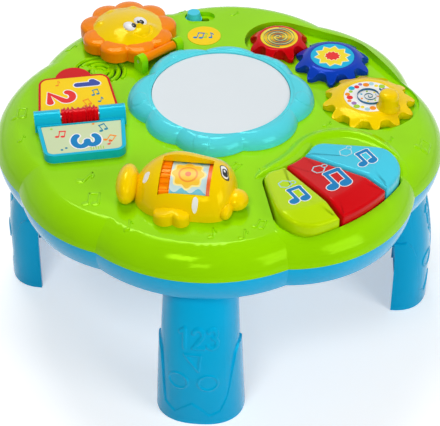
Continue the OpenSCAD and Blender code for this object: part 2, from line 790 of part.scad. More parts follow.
module drum_skin() color([0.9, 0.93, 0.95]) at_drum() {
  face_z = ring_top - skin_sink;
  foot_z = board_z + board_t + dome_h + drum_travel + seat_gap;
  translate([0, 0, face_z - skin_t]) cylinder(r = skin_r, h = skin_t);
  translate([0, 0, face_z - skin_t - 3]) tube(skin_r - 0.2, skin_r - 2, 3.1);
  for (p = PLUNGERS) translate(concat(p, foot_z)) cylinder(r = 2.4, h = face_z - skin_t - foot_z + 0.1);
}

/* ---------- gears ---------- */

// One tooth, pointing along +X: straight flanks and a round tip
module tooth(i) {
  r = pitch_r(i);
  half = gear_fill * PI * gear_module / 2;
  slope = 0.42;
  tip = half - slope * gear_add * 0.55;
  foot = half + slope * gear_ded;
  foot_r = r - gear_ded - 1;
  tip_mid = r + gear_add - tip;
  polygon([[foot_r, -foot], [tip_mid, -tip], [tip_mid, tip], [foot_r, foot]]);
  translate([tip_mid, 0]) circle(tip, $fn = 32);
}

module gear_plan(i) {
  circle(pitch_r(i) - gear_ded);
  for (k = [1:gear_teeth[i]]) rotate(k * 360 / gear_teeth[i]) tooth(i);
}

function hub_r(i) = gear_face[i] + 1.6;
module gear(i) at_gear(i) difference() {
  union() {
    intersection() {
      translate([0, 0, gear_z]) linear_extrude(gear_rim_h) gear_plan(i);
      translate([0, 0, gear_z]) cylinder(r1 = tip_r(i) + 2.2, r2 = tip_r(i) - 1.4, h = gear_rim_h);
    }
    translate([0, 0, gear_z + 1]) cylinder(r1 = pitch_r(i) - gear_ded, r2 = hub_r(i), h = gear_h - 1);
  }
  translate([0, 0, gear_z - 1]) cylinder(r = post_r + run_gap, h = gear_h + 2);
  translate([0, 0, post_z - seat_gap]) cylinder(r = washer_r + 1, h = gear_h);
  translate([0, 0, gear_z + gear_h - 0.4]) cylinder(r = gear_face[i] + 0.15, h = 3);
}

module gear_big() color([1, 0.83, 0.02]) gear(0);
module gear_middle() color([0.02, 0.25, 0.7]) gear(1);
module gear_small() color([0.83, 0.02, 0.05]) gear(2);

knob_at = [9.5, 5.5];
module gear_sheet(i) at_gear(i) difference() {
  translate([0, 0, gear_z + gear_h - 0.4]) cylinder(r = gear_face[i], h = 0.5);
  if (i == 0) rotate(-GEAR_PHASE[0]) translate(concat(knob_at, 0)) cylinder(r = 6 + 0.15, h = 400);
}
module gear_big_face() color([0.95, 0.95, 0.9]) gear_sheet(0);
module gear_middle_face() color([0.1, 0.6, 0.85]) gear_sheet(1);
module gear_small_face() color([0.95, 0.8, 0.3]) gear_sheet(2);

module gear_knob() color([1, 0.8, 0.02])
  translate(concat(GEAR_AT[0] + knob_at, gear_z + gear_h - 0.4))
    rotate_extrude() {
      square([6, 2]);
      polygon([[0, 1], [6, 1], [5.2, 11], [0, 11]]);
      intersection() {
        translate([0, 11]) square([6, 6]);
        translate([0, 11]) circle(5.2);
      }
    }

washer_r = 6.2;
module gear_screws() color([0.65, 0.65, 0.67])
  for (i = [0:2])
    translate(concat(GEAR_AT[i], post_z)) {
      cylinder(r = washer_r, h = 1);
      cylinder(r = 2.8, h = 1.6);
      translate([0, 0, -7]) cylinder(r = screw_r - 0.02, h = 8);
    }

/* ---------- keys ---------- */

key_axis_r = key_in - 4.5;
key_axis_z = top_z - 8;
key_foot_z = top_z - 9;
key_skin = 2;

// Radial section of a key, shrunk by inset for the hollow inside
module key_section(inset) {
  crown_r = key_out - key_round;
  crown_z = top_z + key_high;
  foot = inset > 0 ? key_foot_z - 1 : key_foot_z;
  polygon([[key_in + inset, foot], [key_out - inset, foot], [key_out - inset, crown_z - key_round],
           [crown_r, crown_z - key_round], [crown_r, crown_z - inset],
           [key_in + inset, top_z + key_low - inset]]);
  intersection() {
    translate([crown_r, crown_z - key_round]) circle(key_round - inset);
    translate([crown_r - 0.01, crown_z - key_round]) square(key_round);
  }
}

module key(i) at_keys() rotate(i * key_angle) {
  trim = key_gap / 2 / key_in * 180 / PI;
  skin = key_skin / key_in * 180 / PI;
  outer = key_angle - 2 * trim;
  difference() {
    union() {
      difference() {
        rotate(-outer / 2) rotate_extrude(angle = outer) key_section(0);
        rotate(-outer / 2 + skin) rotate_extrude(angle = outer - 2 * skin) key_section(key_skin);
        if (i != 0) fan_trim(i);
      }
      translate([key_in - 8.5, -3.8, key_axis_z - 4]) cube([11, 7.6, 6.5]);
      translate([key_dome_r, 0, key_plunger_z])
        cylinder(r = 3, h = top_z + key_high - key_skin - key_plunger_z);
    }
    translate([key_axis_r, 0, key_axis_z]) rod_y(key_pin_r + run_gap, 20);
  }
}

// What the round corners of the well take off the first and last key
module fan_trim(i)
  rotate(-i * key_angle)
    translate([0, 0, key_foot_z - 3])
      linear_extrude(40)
        difference() {
          translate([0, i > 0 ? 0 : -key_out]) square([2 * key_out, key_out]);
          fan_plan(0);
          polygon([[0, 0], at_angle(i * key_angle, 2 * key_out), [2 * key_out, 0]]);
        }

key_dome_h = 3;
key_drop = (key_dome_r - key_axis_r) * sin(key_press);
key_plunger_z = key_board_z + board_t + key_dome_h + key_drop + 0.5;

module key_front() color([0.75, 0.88, 0.0]) key(-1);
module key_middle() color([0.86, 0.02, 0.02]) key(0);
module key_rear() color([0.25, 0.8, 0.93]) key(1);

module key_pins() color([0.7, 0.7, 0.72]) at_keys()
  for (i = [-1:1])
    rotate(i * key_angle)
      translate([key_axis_r, 0, key_axis_z]) rod_y(key_pin_r, 14.2);

module key_board() color([0.05, 0.4, 0.15]) at_keys()
  translate([key_dome_r - 7, -36, key_board_z]) cube([14, 72, board_t]);

module key_domes() color([0.85, 0.85, 0.8]) at_keys()
  for (i = [-1:1])
    rotate(i * key_angle)
      translate([key_dome_r, 0, key_board_z + board_t]) cylinder(r1 = 4, r2 = 2.8, h = key_dome_h);

/* ---------- fish ---------- */

// Section of the fish's body about its long axis: a straight barrel with a rounded head and tail
module fish_section(r) {
  head_x = window_l / 2 - 1;
  tail_x = -window_l / 2 - 1;
  head_round = 16.5 - (fish_r - r) * 0.4;
  tail_round = 26 - (fish_r - r);
  intersection() {
    translate([tail_x - 30, 0]) square([110, r]);
    union() {
      translate([tail_x, 0]) square([head_x - tail_x, r]);
      translate([head_x, r - head_round]) circle(head_round);
      translate([head_x, 0]) square([head_round, r - head_round]);
      translate([tail_x, r - tail_round]) circle(tail_round);
    }
  }
}

module fish_solid(r)
  rotate([0, 90, 0]) rotate([0, 0, 90]) rotate_extrude($fn = 96) rotate(90) mirror([0, 1]) fish_section(r);

module fish_body() color([1, 0.84, 0.02]) at_fish() {
  difference() {
    union() {
      fish_solid(fish_r);
      translate([-41, 0, 6]) scale([0.5, 1, 0.72]) sphere(17, $fn = 48);
      translate([-14, -25, 2]) sphere(8);
      translate([-4, -27, 1]) sphere(6.2);
      translate([window_l / 2 + 15, -4, 3]) sphere(8.6);
      translate([window_l / 2 + 11, -11, 1]) sphere(6.6);
    }
    rod_x(fish_r - fish_wall, bay_l);
    translate([-100, -60, -60]) cube([200, 120, 60]);
    rotate([window_back, 0, 0])
      rotate([0, 90, 0])
        rotate([0, 0, 180])
          translate([0, 0, -window_l / 2])
            rotate_extrude(angle = window_back + window_front) square([fish_r + 5, window_l]);
    fish_eye_solids(4.2);
  }
  for (side = [-1, 1])
    translate([side * (bay_l - fish_wall) / 2, 0, 0])
      difference() {
        translate([-fish_wall / 2, -8, -6]) cube([fish_wall, 16, 14]);
        rod_x(axle_r + run_gap, 2 * fish_wall);
      }
}

module fish_eye_solids(r)
  for (side = [-1, 1]) translate([window_l / 2 + 7.5, side * 13.5, 15.5]) sphere(r, $fn = 40);
module fish_eyes() color([0.95, 0.95, 0.95]) at_fish() fish_eye_solids(4.05);

band_t = 0.5;
module roller_drum() color([1, 0.55, 0.05]) at_fish() difference() {
  rod_x(roller_r - 0.8, roller_l);
  rod_x(roller_r - 3, roller_l - 4);
  rod_x(axle_r + run_gap, roller_l + 2);
}
band_from = -window_l / 2 + grip_l;
band_to = window_l / 2 - 2;
module roller_band() color([0.85, 0.87, 0.85]) at_fish()
  translate([(band_from + band_to) / 2, 0, 0]) difference() {
    rod_x(roller_r - 0.3, band_to - band_from);
    rod_x(roller_r - 0.8, band_to - band_from + 1);
  }
grip_ribs = 36;
module roller_grip() color([1, 0.5, 0.02]) at_fish() {
  difference() {
    translate([-roller_l / 2, 0, 0]) rotate([90, 0, 90]) linear_extrude(grip_l) {
      circle(roller_r - 0.5);
      for (k = [1:grip_ribs]) rotate(k * 360 / grip_ribs) translate([roller_r - 2, -0.9]) square([2, 1.8]);
    }
    rod_x(roller_r - 0.8, 100);
  }
  translate([roller_l / 2 - 1.8, 0, 0]) rotate([90, 0, 90]) tube(roller_r, roller_r - 0.8, 1.8);
}
module roller_axle() color([0.7, 0.7, 0.72]) at_fish() rod_x(axle_r, bay_l);

/* ---------- book ---------- */

// Plan of a leaf: straight at the hinge, narrower and rounded at the far end, growing along +Y
module leaf_plan(w, l, start, inset) {
  narrow = 4;
  rounded_outline([[-w / 2, start], [w / 2, start], [w / 2 - narrow, l], [-w / 2 + narrow, l]], 7, -inset);
}

tray_top = top_z + 5;
tray_rim = 1;
card_t = 0.5;
module book_tray() color([0.14, 0.78, 0.9]) at_book() difference() {
  union() {
    translate([0, 0, top_z])
      linear_extrude(tray_top + tray_rim - top_z) mirror([0, 1]) leaf_plan(barrel_l, tray_l, -8, 0);
    for (side = [-1, 1]) {
      mid = side * (barrel_l + knuckle_l) / 4 + side * slide_gap / 2;
      translate([mid, 0, barrel_z]) rod_x(barrel_r, (barrel_l - knuckle_l) / 2 - slide_gap);
      translate([mid, -barrel_r / 2, (top_z + barrel_z) / 2])
        cube([(barrel_l - knuckle_l) / 2 - slide_gap, barrel_r, barrel_z - top_z], center = true);
    }
  }
  translate([0, 0, tray_top]) linear_extrude(10)
    difference() {
      mirror([0, 1]) leaf_plan(barrel_l, tray_l, -8, 2.2);
      translate([-50, -barrel_r - 1.6]) square([100, 50]);
    }
  translate([-knuckle_l / 2 - slide_gap / 2, -barrel_r - 1, top_z - 1]) cube([knuckle_l + slide_gap, 40, 20]);
  translate([-60, 0, top_z - 1]) difference() {
    cube([120, 40, 7]);
    translate([0, 0, barrel_z - top_z + 1]) translate([60, 0, 0]) rod_x(barrel_r, 200);
  }
  translate([0, 0, barrel_z]) rod_x(book_pin_r + run_gap, barrel_l + 2);
}

module tray_card() color([0.8, 0.9, 0.68]) at_book()
  translate([0, 0, tray_top + 0.02]) linear_extrude(card_t)
    difference() {
      mirror([0, 1]) leaf_plan(barrel_l, tray_l, -8, 2.6);
      translate([-50, -barrel_r - 2.2]) square([100, 50]);
    }

page_z = top_z + 0.4;
module book_page() color([0.82, 0.1, 0.1]) at_book() difference() {
  union() {
    translate([0, 0, page_z]) linear_extrude(page_t) {
      intersection() {
        leaf_plan(barrel_l - 5, page_l, barrel_r - 6, 0);
        translate([-50, barrel_r + 0.8]) square([100, 60]);
      }
      translate([0, page_l - 4]) circle(13);
    }
    translate([0, 0, barrel_z]) rod_x(barrel_r - 0.6, knuckle_l - slide_gap);
    for (k = [0:6])
      translate([-knuckle_l / 2 + 1.3 + k * 3.5, 0, barrel_z]) rod_x(barrel_r, 1.6);
    translate([-knuckle_l / 2 + slide_gap / 2, 0, page_z])
      cube([knuckle_l - slide_gap, barrel_r + 2, page_t]);
  }
  translate([0, 0, page_z + page_t - 0.5]) linear_extrude(3) page_card_plan(0.1);
  translate([0, 0, barrel_z]) rod_x(book_pin_r + run_gap, barrel_l);
}

module page_card_plan(grow)
  intersection() {
    leaf_plan(barrel_l - 5, page_l, barrel_r - 6, 1.6 - grow);
    translate([-50, barrel_r + 2.6 - grow]) square([100, 60]);
  }

module page_card() color([1, 0.83, 0.05]) at_book()
  translate([0, 0, page_z + page_t - 0.48]) linear_extrude(0.6) page_card_plan(0);

module book_pin() color([0.7, 0.7, 0.72])
  at_book() translate([0, 0, barrel_z]) rod_x(book_pin_r, barrel_l - 1);

/* ---------- lion ---------- */

mane_top = lid_z + mane_h;
module face_base(r, z0, z1) {
  translate([0, 0, z0]) cylinder(r = r, h = z1 - z0);
  translate([0, -17.5, z0]) cylinder(r = 10.4 + r - face_r, h = z1 - z0);
}

// Half section of a disc with a domed top, from its foot up
module domed_section(r, foot, edge, high) {
  curve = (r * r + high * high) / (2 * high);
  intersection() {
    translate([0, foot]) square([r, edge + high + 1 - foot]);
    translate([0, edge + high - curve]) circle(curve);
  }
}

module lion_mane() color([1, 0.55, 0.03]) at_lion() difference() {
  union() {
    lobed(MANE_LOBES, mane_r, lid_z, mane_top) rounded_section($lobe_r, lid_z, mane_top, 6.6, rim_edge);
    translate([-lid_barrel_l / 2, -lid_arm, lid_z]) cube([lid_barrel_l, 10, 4.6]);
    translate([0, -lid_arm, lion_axis_z]) rod_x(lid_barrel_r, lid_barrel_l);
  }
  translate([0, 0, lid_z - 1]) cylinder(r = 24, h = 3.2);
  face_base(face_r + 0.15, mane_top - 1.6, mane_top + 5);
  translate([0, -lid_arm, lion_axis_z]) rod_x(lion_pin_r + run_gap, lid_barrel_l + 2);
  translate([-20, -lid_arm - 8, lid_z - 1]) cube([40, 8, 1 + lion_axis_z - lid_z - lid_barrel_r + 0.05]);
}

module lion_face() color([1, 0.87, 0.02]) at_lion() difference() {
  union() {
    rotate_extrude() domed_section(face_r, mane_top - 1.5, mane_top, face_h);
    translate([0, -17.5, 0]) rotate_extrude() domed_section(10.4, mane_top - 1.5, mane_top, 6.3);
  }
  lion_eye_solids(lion_eye_r + 0.1);
}
lion_eye_r = 4.7;
lion_pupil_r = 1.7;
// The spheres of the eyes, tipped where a pole would lie in a pupil's socket
module lion_eye_solids(r, tip = 0)
  for (side = [-1, 1])
    translate([side * 4.8, -8.4, mane_top + 3.5]) rotate([0, tip, 0]) sphere(r, $fn = 40);
module lion_eyes() color([0.98, 0.98, 0.98]) at_lion() difference() {
  lion_eye_solids(lion_eye_r, 90);
  lion_pupil_solids(lion_pupil_r + 0.05);
}
module lion_pupil_solids(r)
  for (side = [-1, 1]) translate([side * 4, -9.8, mane_top + 7.3]) sphere(r, $fn = 32);
module lion_pupils() color([0.03, 0.03, 0.03]) at_lion() lion_pupil_solids(lion_pupil_r);
module lion_pin() color([0.7, 0.7, 0.72]) at_lion()
  translate([0, -lid_arm, lion_axis_z]) rod_x(lion_pin_r, lid_barrel_l + 2 * ear_l + 1);
module lion_mirror() color([0.85, 0.88, 0.9])
  at_lion() translate([0, 0, mirror_seat_z]) cylinder(r = mirror_r, h = 1.2);

/* ---------- switch ---------- */

slot_d = 3;
slot_z = top_z - slot_d;
// Top of the electric switch under the slot
switch_z = slot_z - wall - 3;
switch_well = 1.8;
module switch_knob() color([0.1, 0.72, 0.75])
  at_switch() translate([-switch_travel / 2, 0, slot_z + seat_gap]) {
  linear_extrude(1.2) obround(slot_l - switch_travel - 2 * slide_gap, slot_w - 2 * slide_gap);
  cylinder(r1 = knob_r, r2 = knob_r - 1.2, h = 9);
  foot = slot_z - switch_z + switch_well;
  translate([0, 0, -foot]) cylinder(r = 1.9, h = foot + 1);
}

module switch_body() color([0.15, 0.15, 0.17]) at_switch() difference() {
  translate([-12, -5, switch_z - 4]) cube([24, 10, 4]);
  translate([-switch_travel / 2 - 2.5, -2.5, switch_z - switch_well]) cube([switch_travel + 5, 5, 3]);
}

top_shell();
base_shell();
leg_front();
leg_right();
leg_back();
leg_left();
battery_door();
battery_door_screw();
batteries();
battery_contacts();
circuit_board();
led_lamps();
drum_domes();
speaker();
speaker_clamp();
case_screws();
label_disc();
drum_ring();
drum_reflector();
drum_skin();
gear_big();
gear_middle();
gear_small();
gear_knob();
gear_big_face();
gear_middle_face();
gear_small_face();
gear_screws();
key_front();
key_middle();
key_rear();
key_pins();
key_board();
key_domes();
fish_body();
fish_eyes();
roller_drum();
roller_band();
roller_grip();
roller_axle();
book_tray();
tray_card();
book_page();
page_card();
book_pin();
lion_mane();
lion_face();
lion_eyes();
lion_pupils();
lion_pin();
lion_mirror();
switch_knob();
switch_body();
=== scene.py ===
"""Looks of a musical activity table: moulded shells, drum, gears, keys, fish, book and lion lid."""

import logging
import math
from contextlib import contextmanager
from dataclasses import dataclass, field
from enum import Enum
from typing import Callable, ClassVar, Iterator, Sequence

import bmesh
import bpy
import numpy as np
from mathutils import Matrix, Vector


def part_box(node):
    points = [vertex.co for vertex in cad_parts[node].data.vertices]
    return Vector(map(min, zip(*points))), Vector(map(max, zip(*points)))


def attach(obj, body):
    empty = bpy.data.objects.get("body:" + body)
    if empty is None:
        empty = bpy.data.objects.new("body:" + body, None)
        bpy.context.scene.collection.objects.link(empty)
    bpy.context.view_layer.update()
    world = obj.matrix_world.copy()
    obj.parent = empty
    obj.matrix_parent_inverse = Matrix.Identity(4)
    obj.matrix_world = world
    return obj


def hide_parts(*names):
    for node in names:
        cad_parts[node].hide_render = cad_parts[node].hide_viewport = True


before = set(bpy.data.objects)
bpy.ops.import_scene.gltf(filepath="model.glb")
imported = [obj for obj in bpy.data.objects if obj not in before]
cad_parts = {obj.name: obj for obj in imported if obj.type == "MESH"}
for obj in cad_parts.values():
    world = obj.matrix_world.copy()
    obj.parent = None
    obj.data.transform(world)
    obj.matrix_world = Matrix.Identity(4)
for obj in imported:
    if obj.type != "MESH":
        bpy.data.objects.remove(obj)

log = logging.getLogger("activity_table")
MM = 0.001
SAME_POINT = 2e-6
FAR = 1e9
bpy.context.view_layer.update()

Point = tuple[float, float]
Height = Callable[[np.ndarray, np.ndarray], np.ndarray]


# ---------------------------------------------------------------- finishes


class Sheen(Enum):
    """How glossy a plastic is: its roughness."""

    GLOSSY = 0.12
    SATIN = 0.32
    PRINT = 0.38
    RUBBER = 0.6


def linear(colour: tuple[int, int, int]) -> tuple[float, float, float, float]:
    """Turns a display colour into the linear one that a shader takes.

    Args:
        colour: Red, green and blue from 0 to 255.

    Returns:
        The linear colour with full alpha.
    """
    c = np.array(colour, float) / 255
    c = np.where(c <= 0.04045, c / 12.92, ((c + 0.055) / 1.055) ** 2.4)
    return (float(c[0]), float(c[1]), float(c[2]), 1.0)


def feed(tree: bpy.types.NodeTree, node: bpy.types.Node, inputs: dict) -> None:
    """Links sockets to a node's inputs and sets its other inputs.

    Args:
        tree: The tree that holds the node.
        node: The node.
        inputs: A socket or a value for each input, by its name or number.
    """
    for key, value in inputs.items():
        if isinstance(value, bpy.types.NodeSocket):
            tree.links.new(value, node.inputs[key])
        else:
            node.inputs[key].default_value = value


def add_node(tree: bpy.types.NodeTree, kind: str, inputs: dict | None = None, **settings: object) -> bpy.types.Node:
    """Adds a node with its settings and inputs.

    Args:
        tree: The tree that gets it.
        kind: Its type.
        inputs: A socket or a value for each input, by its name or number.
        settings: Its own properties, such as its operation.

    Returns:
        The node.
    """
    node = tree.nodes.new(kind)
    for name, value in settings.items():
        setattr(node, name, value)
    feed(tree, node, inputs or {})
    return node


def flow(tree: bpy.types.NodeTree, kind: str, inputs: dict | None = None, **settings: object) -> bpy.types.NodeSocket:
    """First output of a new node, which is described as for add_node."""
    return add_node(tree, kind, inputs, **settings).outputs[0]


def new_material(name: str) -> tuple[bpy.types.Material, bpy.types.NodeTree]:
    """Makes a material with nodes.

    Args:
        name: Name of the material.

    Returns:
        The material and its node tree.
    """
    mat = bpy.data.materials.new(name)
    mat.use_nodes = True
    return mat, mat.node_tree


@dataclass(frozen=True)
class Finish:
    """A moulded or printed surface with fine grain, made of nodes."""

    name: str
    colour: tuple[int, int, int]
    sheen: Sheen = Sheen.GLOSSY
    shade: float = 0.94
    metal: float = 0.0
    glow: float = 0.0
    grain: float = 0.05
    grain_scale: float = 1400.0
    grain_depth: float = 0.0002
    cloud_scale: float = 22.0
    glow_depth: float = 0.004
    bend: float = 1.46
    shine: float = 0.48

    def tint(self) -> tuple[float, float, float, float]:
        """Colour of the reflections: near the plastic's own, so that they don't turn it grey.

        Returns:
            The tint with full alpha.
        """
        base = linear(self.colour)[:3]
        red, green, blue = (0.97 * min(1.0, 1.25 * c / max(base)) + 0.03 for c in base)
        return (red, green, blue, 1.0)

    def material(self) -> bpy.types.Material:
        """Builds the material, or finds it if it is built already.

        Returns:
            A node material on Object coordinates.
        """
        mat = bpy.data.materials.get(self.name)
        if mat:
            return mat
        mat, tree = new_material(self.name)
        rough = self.sheen.value
        where = add_node(tree, "ShaderNodeTexCoord").outputs["Object"]
        cloud = flow(tree, "ShaderNodeTexNoise", {"Vector": where, "Scale": self.cloud_scale, "Detail": 3})
        fine = flow(tree, "ShaderNodeTexNoise", {"Vector": where, "Scale": self.grain_scale, "Detail": 2})
        ramp = add_node(tree, "ShaderNodeValToRGB", {"Fac": cloud})
        for stop, position, share in zip(ramp.color_ramp.elements, (0.35, 0.65), (self.shade, 1.0)):
            stop.position = position
            stop.color = (*(c * share for c in linear(self.colour)[:3]), 1)
        bump = {"Height": fine, "Strength": self.grain, "Distance": self.grain_depth}
        wear = {"Value": cloud, "To Min": 0.9 * rough, "To Max": 1.15 * rough}
        feed(tree, tree.nodes["Principled BSDF"], {
            "Base Color": ramp.outputs["Color"],
            "Normal": flow(tree, "ShaderNodeBump", bump),
            "Roughness": flow(tree, "ShaderNodeMapRange", wear),
            "Metallic": self.metal,
            "IOR": self.bend,
            "Specular IOR Level": self.shine,
            "Specular Tint": self.tint(),
            "Subsurface Weight": self.glow,
            "Subsurface Radius": (1.0, 1.0, 1.0),
            "Subsurface Scale": self.glow_depth,
        })
        return mat


GREEN = Finish("green_shell", (154, 226, 0))
BASE_BLUE = Finish("blue_shell", (0, 178, 230))
RING_CYAN = Finish("cyan_ring", (88, 218, 232))
BOOK_CYAN = Finish("cyan_book", (20, 190, 224))
KEY_CYAN = Finish("cyan_key", (72, 208, 236))
YELLOW = Finish("yellow_plastic", (255, 214, 0))
ORANGE = Finish("orange_plastic", (255, 140, 0))
RED = Finish("red_plastic", (214, 4, 14))
GEAR_BLUE = Finish("deep_blue_plastic", (10, 62, 186))
LIME = Finish("lime_key", (190, 228, 0))
MILKY = Finish("milky_skin", (226, 234, 239), Sheen.SATIN, 0.99, glow=0.2)
WHITE = Finish("white_plastic", (244, 244, 246), Sheen.SATIN, 0.98)
BLACK = Finish("black_plastic", (12, 12, 12))
DARK = Finish("dark_plastic", (40, 42, 46), Sheen.SATIN)
STEEL = Finish("steel", (190, 192, 196), Sheen.SATIN, 0.95, metal=1.0)
MIRROR = Finish("mirror_sheet", (225, 228, 232), Sheen.GLOSSY, 0.99, metal=1.0)
BOARD = Finish("circuit_board_green", (16, 96, 50), Sheen.SATIN)
CELL = Finish("cell_wrap", (50, 54, 60), Sheen.SATIN)
LAMP = Finish("lamp_lens", (236, 120, 110), Sheen.GLOSSY, glow=0.3)
SILICONE = Finish("silicone", (214, 214, 208), Sheen.RUBBER)
CARD_YELLOW = Finish("print_yellow", (255, 214, 20), Sheen.PRINT, 0.97)
CARD_GREEN = Finish("print_pale_green", (206, 222, 176), Sheen.PRINT, 0.93)
PRINTS = {
    ink: Finish("print_" + name, colour, Sheen.PRINT, shade)
    for ink, name, colour, shade in (
        ("white", "white", (246, 246, 244), 0.99),
        ("cream", "cream", (252, 244, 190), 0.98),
        ("blue", "blue", (56, 76, 160), 0.94),
        ("sea", "sea_blue", (8, 126, 190), 0.94),
        ("black", "black", (14, 16, 20), 0.94),
        ("slate", "slate_blue", (60, 118, 160), 0.94),
        ("cyan", "cyan", (20, 182, 226), 0.94),
        ("red", "red", (238, 52, 52), 0.94),
        ("orange", "orange", (250, 148, 30), 0.94),
        ("yellow", "sun_yellow", (252, 226, 50), 0.94),
        ("lime", "lime", (170, 214, 60), 0.94),
        ("violet", "violet", (160, 120, 180), 0.94),
        ("sky", "sky", (176, 218, 226), 0.94),
        ("teal", "teal", (30, 130, 160), 0.94),
    )
}


# ---------------------------------------------------------------- mesh tools


@dataclass
class Place:
    """Where a sub-assembly's own axes lie in the table: millimetres and degrees."""

    x: float
    y: float
    z: float = 0.0
    turn: float = 0.0

    def matrix(self) -> Matrix:
        """The move from the sub-assembly's millimetres to the table's metres.

        Returns:
            The matrix.
        """
        return (
            Matrix.Scale(MM, 4)
            @ Matrix.Translation((self.x, self.y, self.z))
            @ Matrix.Rotation(math.radians(self.turn), 4, "Z")
        )


AT_TABLE = Place(0, 0)


def show(obj: bpy.types.Object, body: str, finish: Finish, replaced: Sequence[str] = ()) -> bpy.types.Object:
    """Dresses a finished piece and hands it to its body.

    Args:
        obj: The piece, at the origin.
        body: Name of the body it rides on.
        finish: Its finish.
        replaced: CAD nodes that it stands for.

    Returns:
        The same piece.
    """
    obj.data.materials.clear()
    obj.data.materials.append(finish.material())
    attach(obj, body)
    if replaced:
        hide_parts(*replaced)
    log.info("piece %s on %s: %d faces", obj.name, body, len(obj.data.polygons))
    return obj


@contextmanager
def edited(mesh: bpy.types.Mesh) -> Iterator[bmesh.types.BMesh]:
    """Opens a mesh for edits and writes the result back.

    Args:
        mesh: The mesh.

    Yields:
        The open mesh.
    """
    work = bmesh.new()
    work.from_mesh(mesh)
    yield work
    work.to_mesh(mesh)
    work.free()


def raw_object(name: str, points: Sequence, faces: Sequence, edges: Sequence = ()) -> bpy.types.Object:
    """Makes an object from points, faces and edges as they are, and links it to the scene.

    Args:
        name: Name of the piece.
        points: Its points.
        faces: Corner numbers of each face, outwards.
        edges: Point numbers of each loose edge.

    Returns:
        The object.
    """
    mesh = bpy.data.meshes.new(name)
    mesh.from_pydata([tuple(map(float, p)) for p in points], list(edges), list(faces))
    obj = bpy.data.objects.new(name, mesh)
    bpy.context.scene.collection.objects.link(obj)
    return obj


def mesh_object(
    name: str, points: Sequence, faces: Sequence, place: Place = AT_TABLE, smooth: float = 35, mend: bool = False
) -> bpy.types.Object:
    """Makes an object from points and faces, with sharp edges where its faces turn.

    Args:
        name: Name of the piece.
        points: Points in millimetres on the place's axes.
        faces: Corner numbers of each face, outwards.
        place: Where the axes lie.
        smooth: Angle in degrees over which an edge stays sharp.
        mend: Whether large faces are cut up and all are turned outwards.

    Returns:
        The object, with its place in its mesh.
    """
    obj = raw_object(name, points, faces)
    obj.data.transform(place.matrix())
    obj.data.validate()
    soften(obj, smooth)
    if mend:
        fix_normals(obj)
    return obj


def soften(obj: bpy.types.Object, angle: float = 35) -> None:
    """Shades a mesh smooth, with edges sharp over an angle.

    Args:
        obj: The piece.
        angle: The angle in degrees.
    """
    mesh, limit = obj.data, math.radians(angle)
    mesh.polygons.foreach_set("use_smooth", np.ones(len(mesh.polygons), bool))
    with edited(mesh) as work:
        for edge in work.edges:
            edge.smooth = len(edge.link_faces) == 2 and edge.calc_face_angle(0) < limit
    mesh.update()


def fix_normals(obj: bpy.types.Object) -> None:
    """Cuts a mesh's many-sided faces into triangles and turns all faces outwards.

    Args:
        obj: The piece.
    """
    with edited(obj.data) as work:
        bmesh.ops.triangulate(work, faces=[f for f in work.faces if len(f.verts) > 4])
        bmesh.ops.recalc_face_normals(work, faces=work.faces)


def baked(obj: bpy.types.Object) -> bpy.types.Object:
    """Turns a piece and its modifiers into a plain mesh.

    Args:
        obj: The piece, with modifiers.

    Returns:
        The same object with the result as its mesh.
    """
    graph = bpy.context.evaluated_depsgraph_get()
    mesh = bpy.data.meshes.new_from_object(obj.evaluated_get(graph))
    old = obj.data
    obj.modifiers.clear()
    obj.data = mesh
    bpy.data.meshes.remove(old)
    mesh.name = obj.name
    return obj


def smooth_node(node: str, body: str, finish: Finish, angle: float = 24) -> bpy.types.Object:
    """Stands in for a CAD node with a merged copy whose shading follows its large faces.

    Args:
        node: Name of the CAD node.
        body: Body it rides on.
        finish: Its finish.
        angle: Angle in degrees over which an edge stays sharp.

    Returns:
        The new piece.
    """
    obj = bpy.data.objects.new(node + "_moulding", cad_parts[node].data.copy())
    bpy.context.scene.collection.objects.link(obj)
    with edited(obj.data) as work:
        bmesh.ops.remove_doubles(work, verts=work.verts, dist=SAME_POINT)
    soften(obj, angle)
    weigh = obj.modifiers.new("weigh", "WEIGHTED_NORMAL")
    weigh.keep_sharp = True
    weigh.weight = 80
    baked(obj)
    return show(obj, body, finish, [node])


def loop_faces(first: int, second: int, count: int) -> list:
    """Faces between two rings of points that turn the same way.

    Args:
        first: Number of the first point of the outer or lower ring.
        second: Number of the first point of the next ring.
        count: Points in a ring.

    Returns:
        One four-sided face for each step round.
    """
    return [(first + i, first + (i + 1) % count, second + (i + 1) % count, second + i) for i in range(count)]


def stack(rings: Sequence[np.ndarray], close_ends: bool = True) -> tuple[np.ndarray, list]:
    """Joins rings of points into one closed shape, from its underside to its top.

    Args:
        rings: Rings of the same length that turn left, each an array of points.
        close_ends: Whether the first and the last ring are filled.

    Returns:
        The points and the faces.
    """
    count = len(rings[0])
    points = np.vstack(rings)
    faces: list = []
    for k in range(len(rings) - 1):
        faces += loop_faces(k * count, (k + 1) * count, count)
    if close_ends:
        low, high = len(points), len(points) + 1
        points = np.vstack([points, rings[0].mean(0), rings[-1].mean(0)])
        last = (len(rings) - 1) * count
        faces += [(low, (i + 1) % count, i) for i in range(count)]
        faces += [(high, last + i, last + (i + 1) % count) for i in range(count)]
    return points, faces


def polar(radius: float | np.ndarray, turn: np.ndarray, z: float | np.ndarray = 0.0) -> np.ndarray:
    """Points by radius, angle in radians and height."""
    return np.column_stack([radius * np.cos(turn), radius * np.sin(turn), np.broadcast_to(z, turn.shape)])


def circle(radius: float, count: int, z: float = 0.0) -> np.ndarray:
    """A ring of points on a circle, turning left."""
    return polar(radius, np.linspace(0, 2 * np.pi, count, endpoint=False), z)


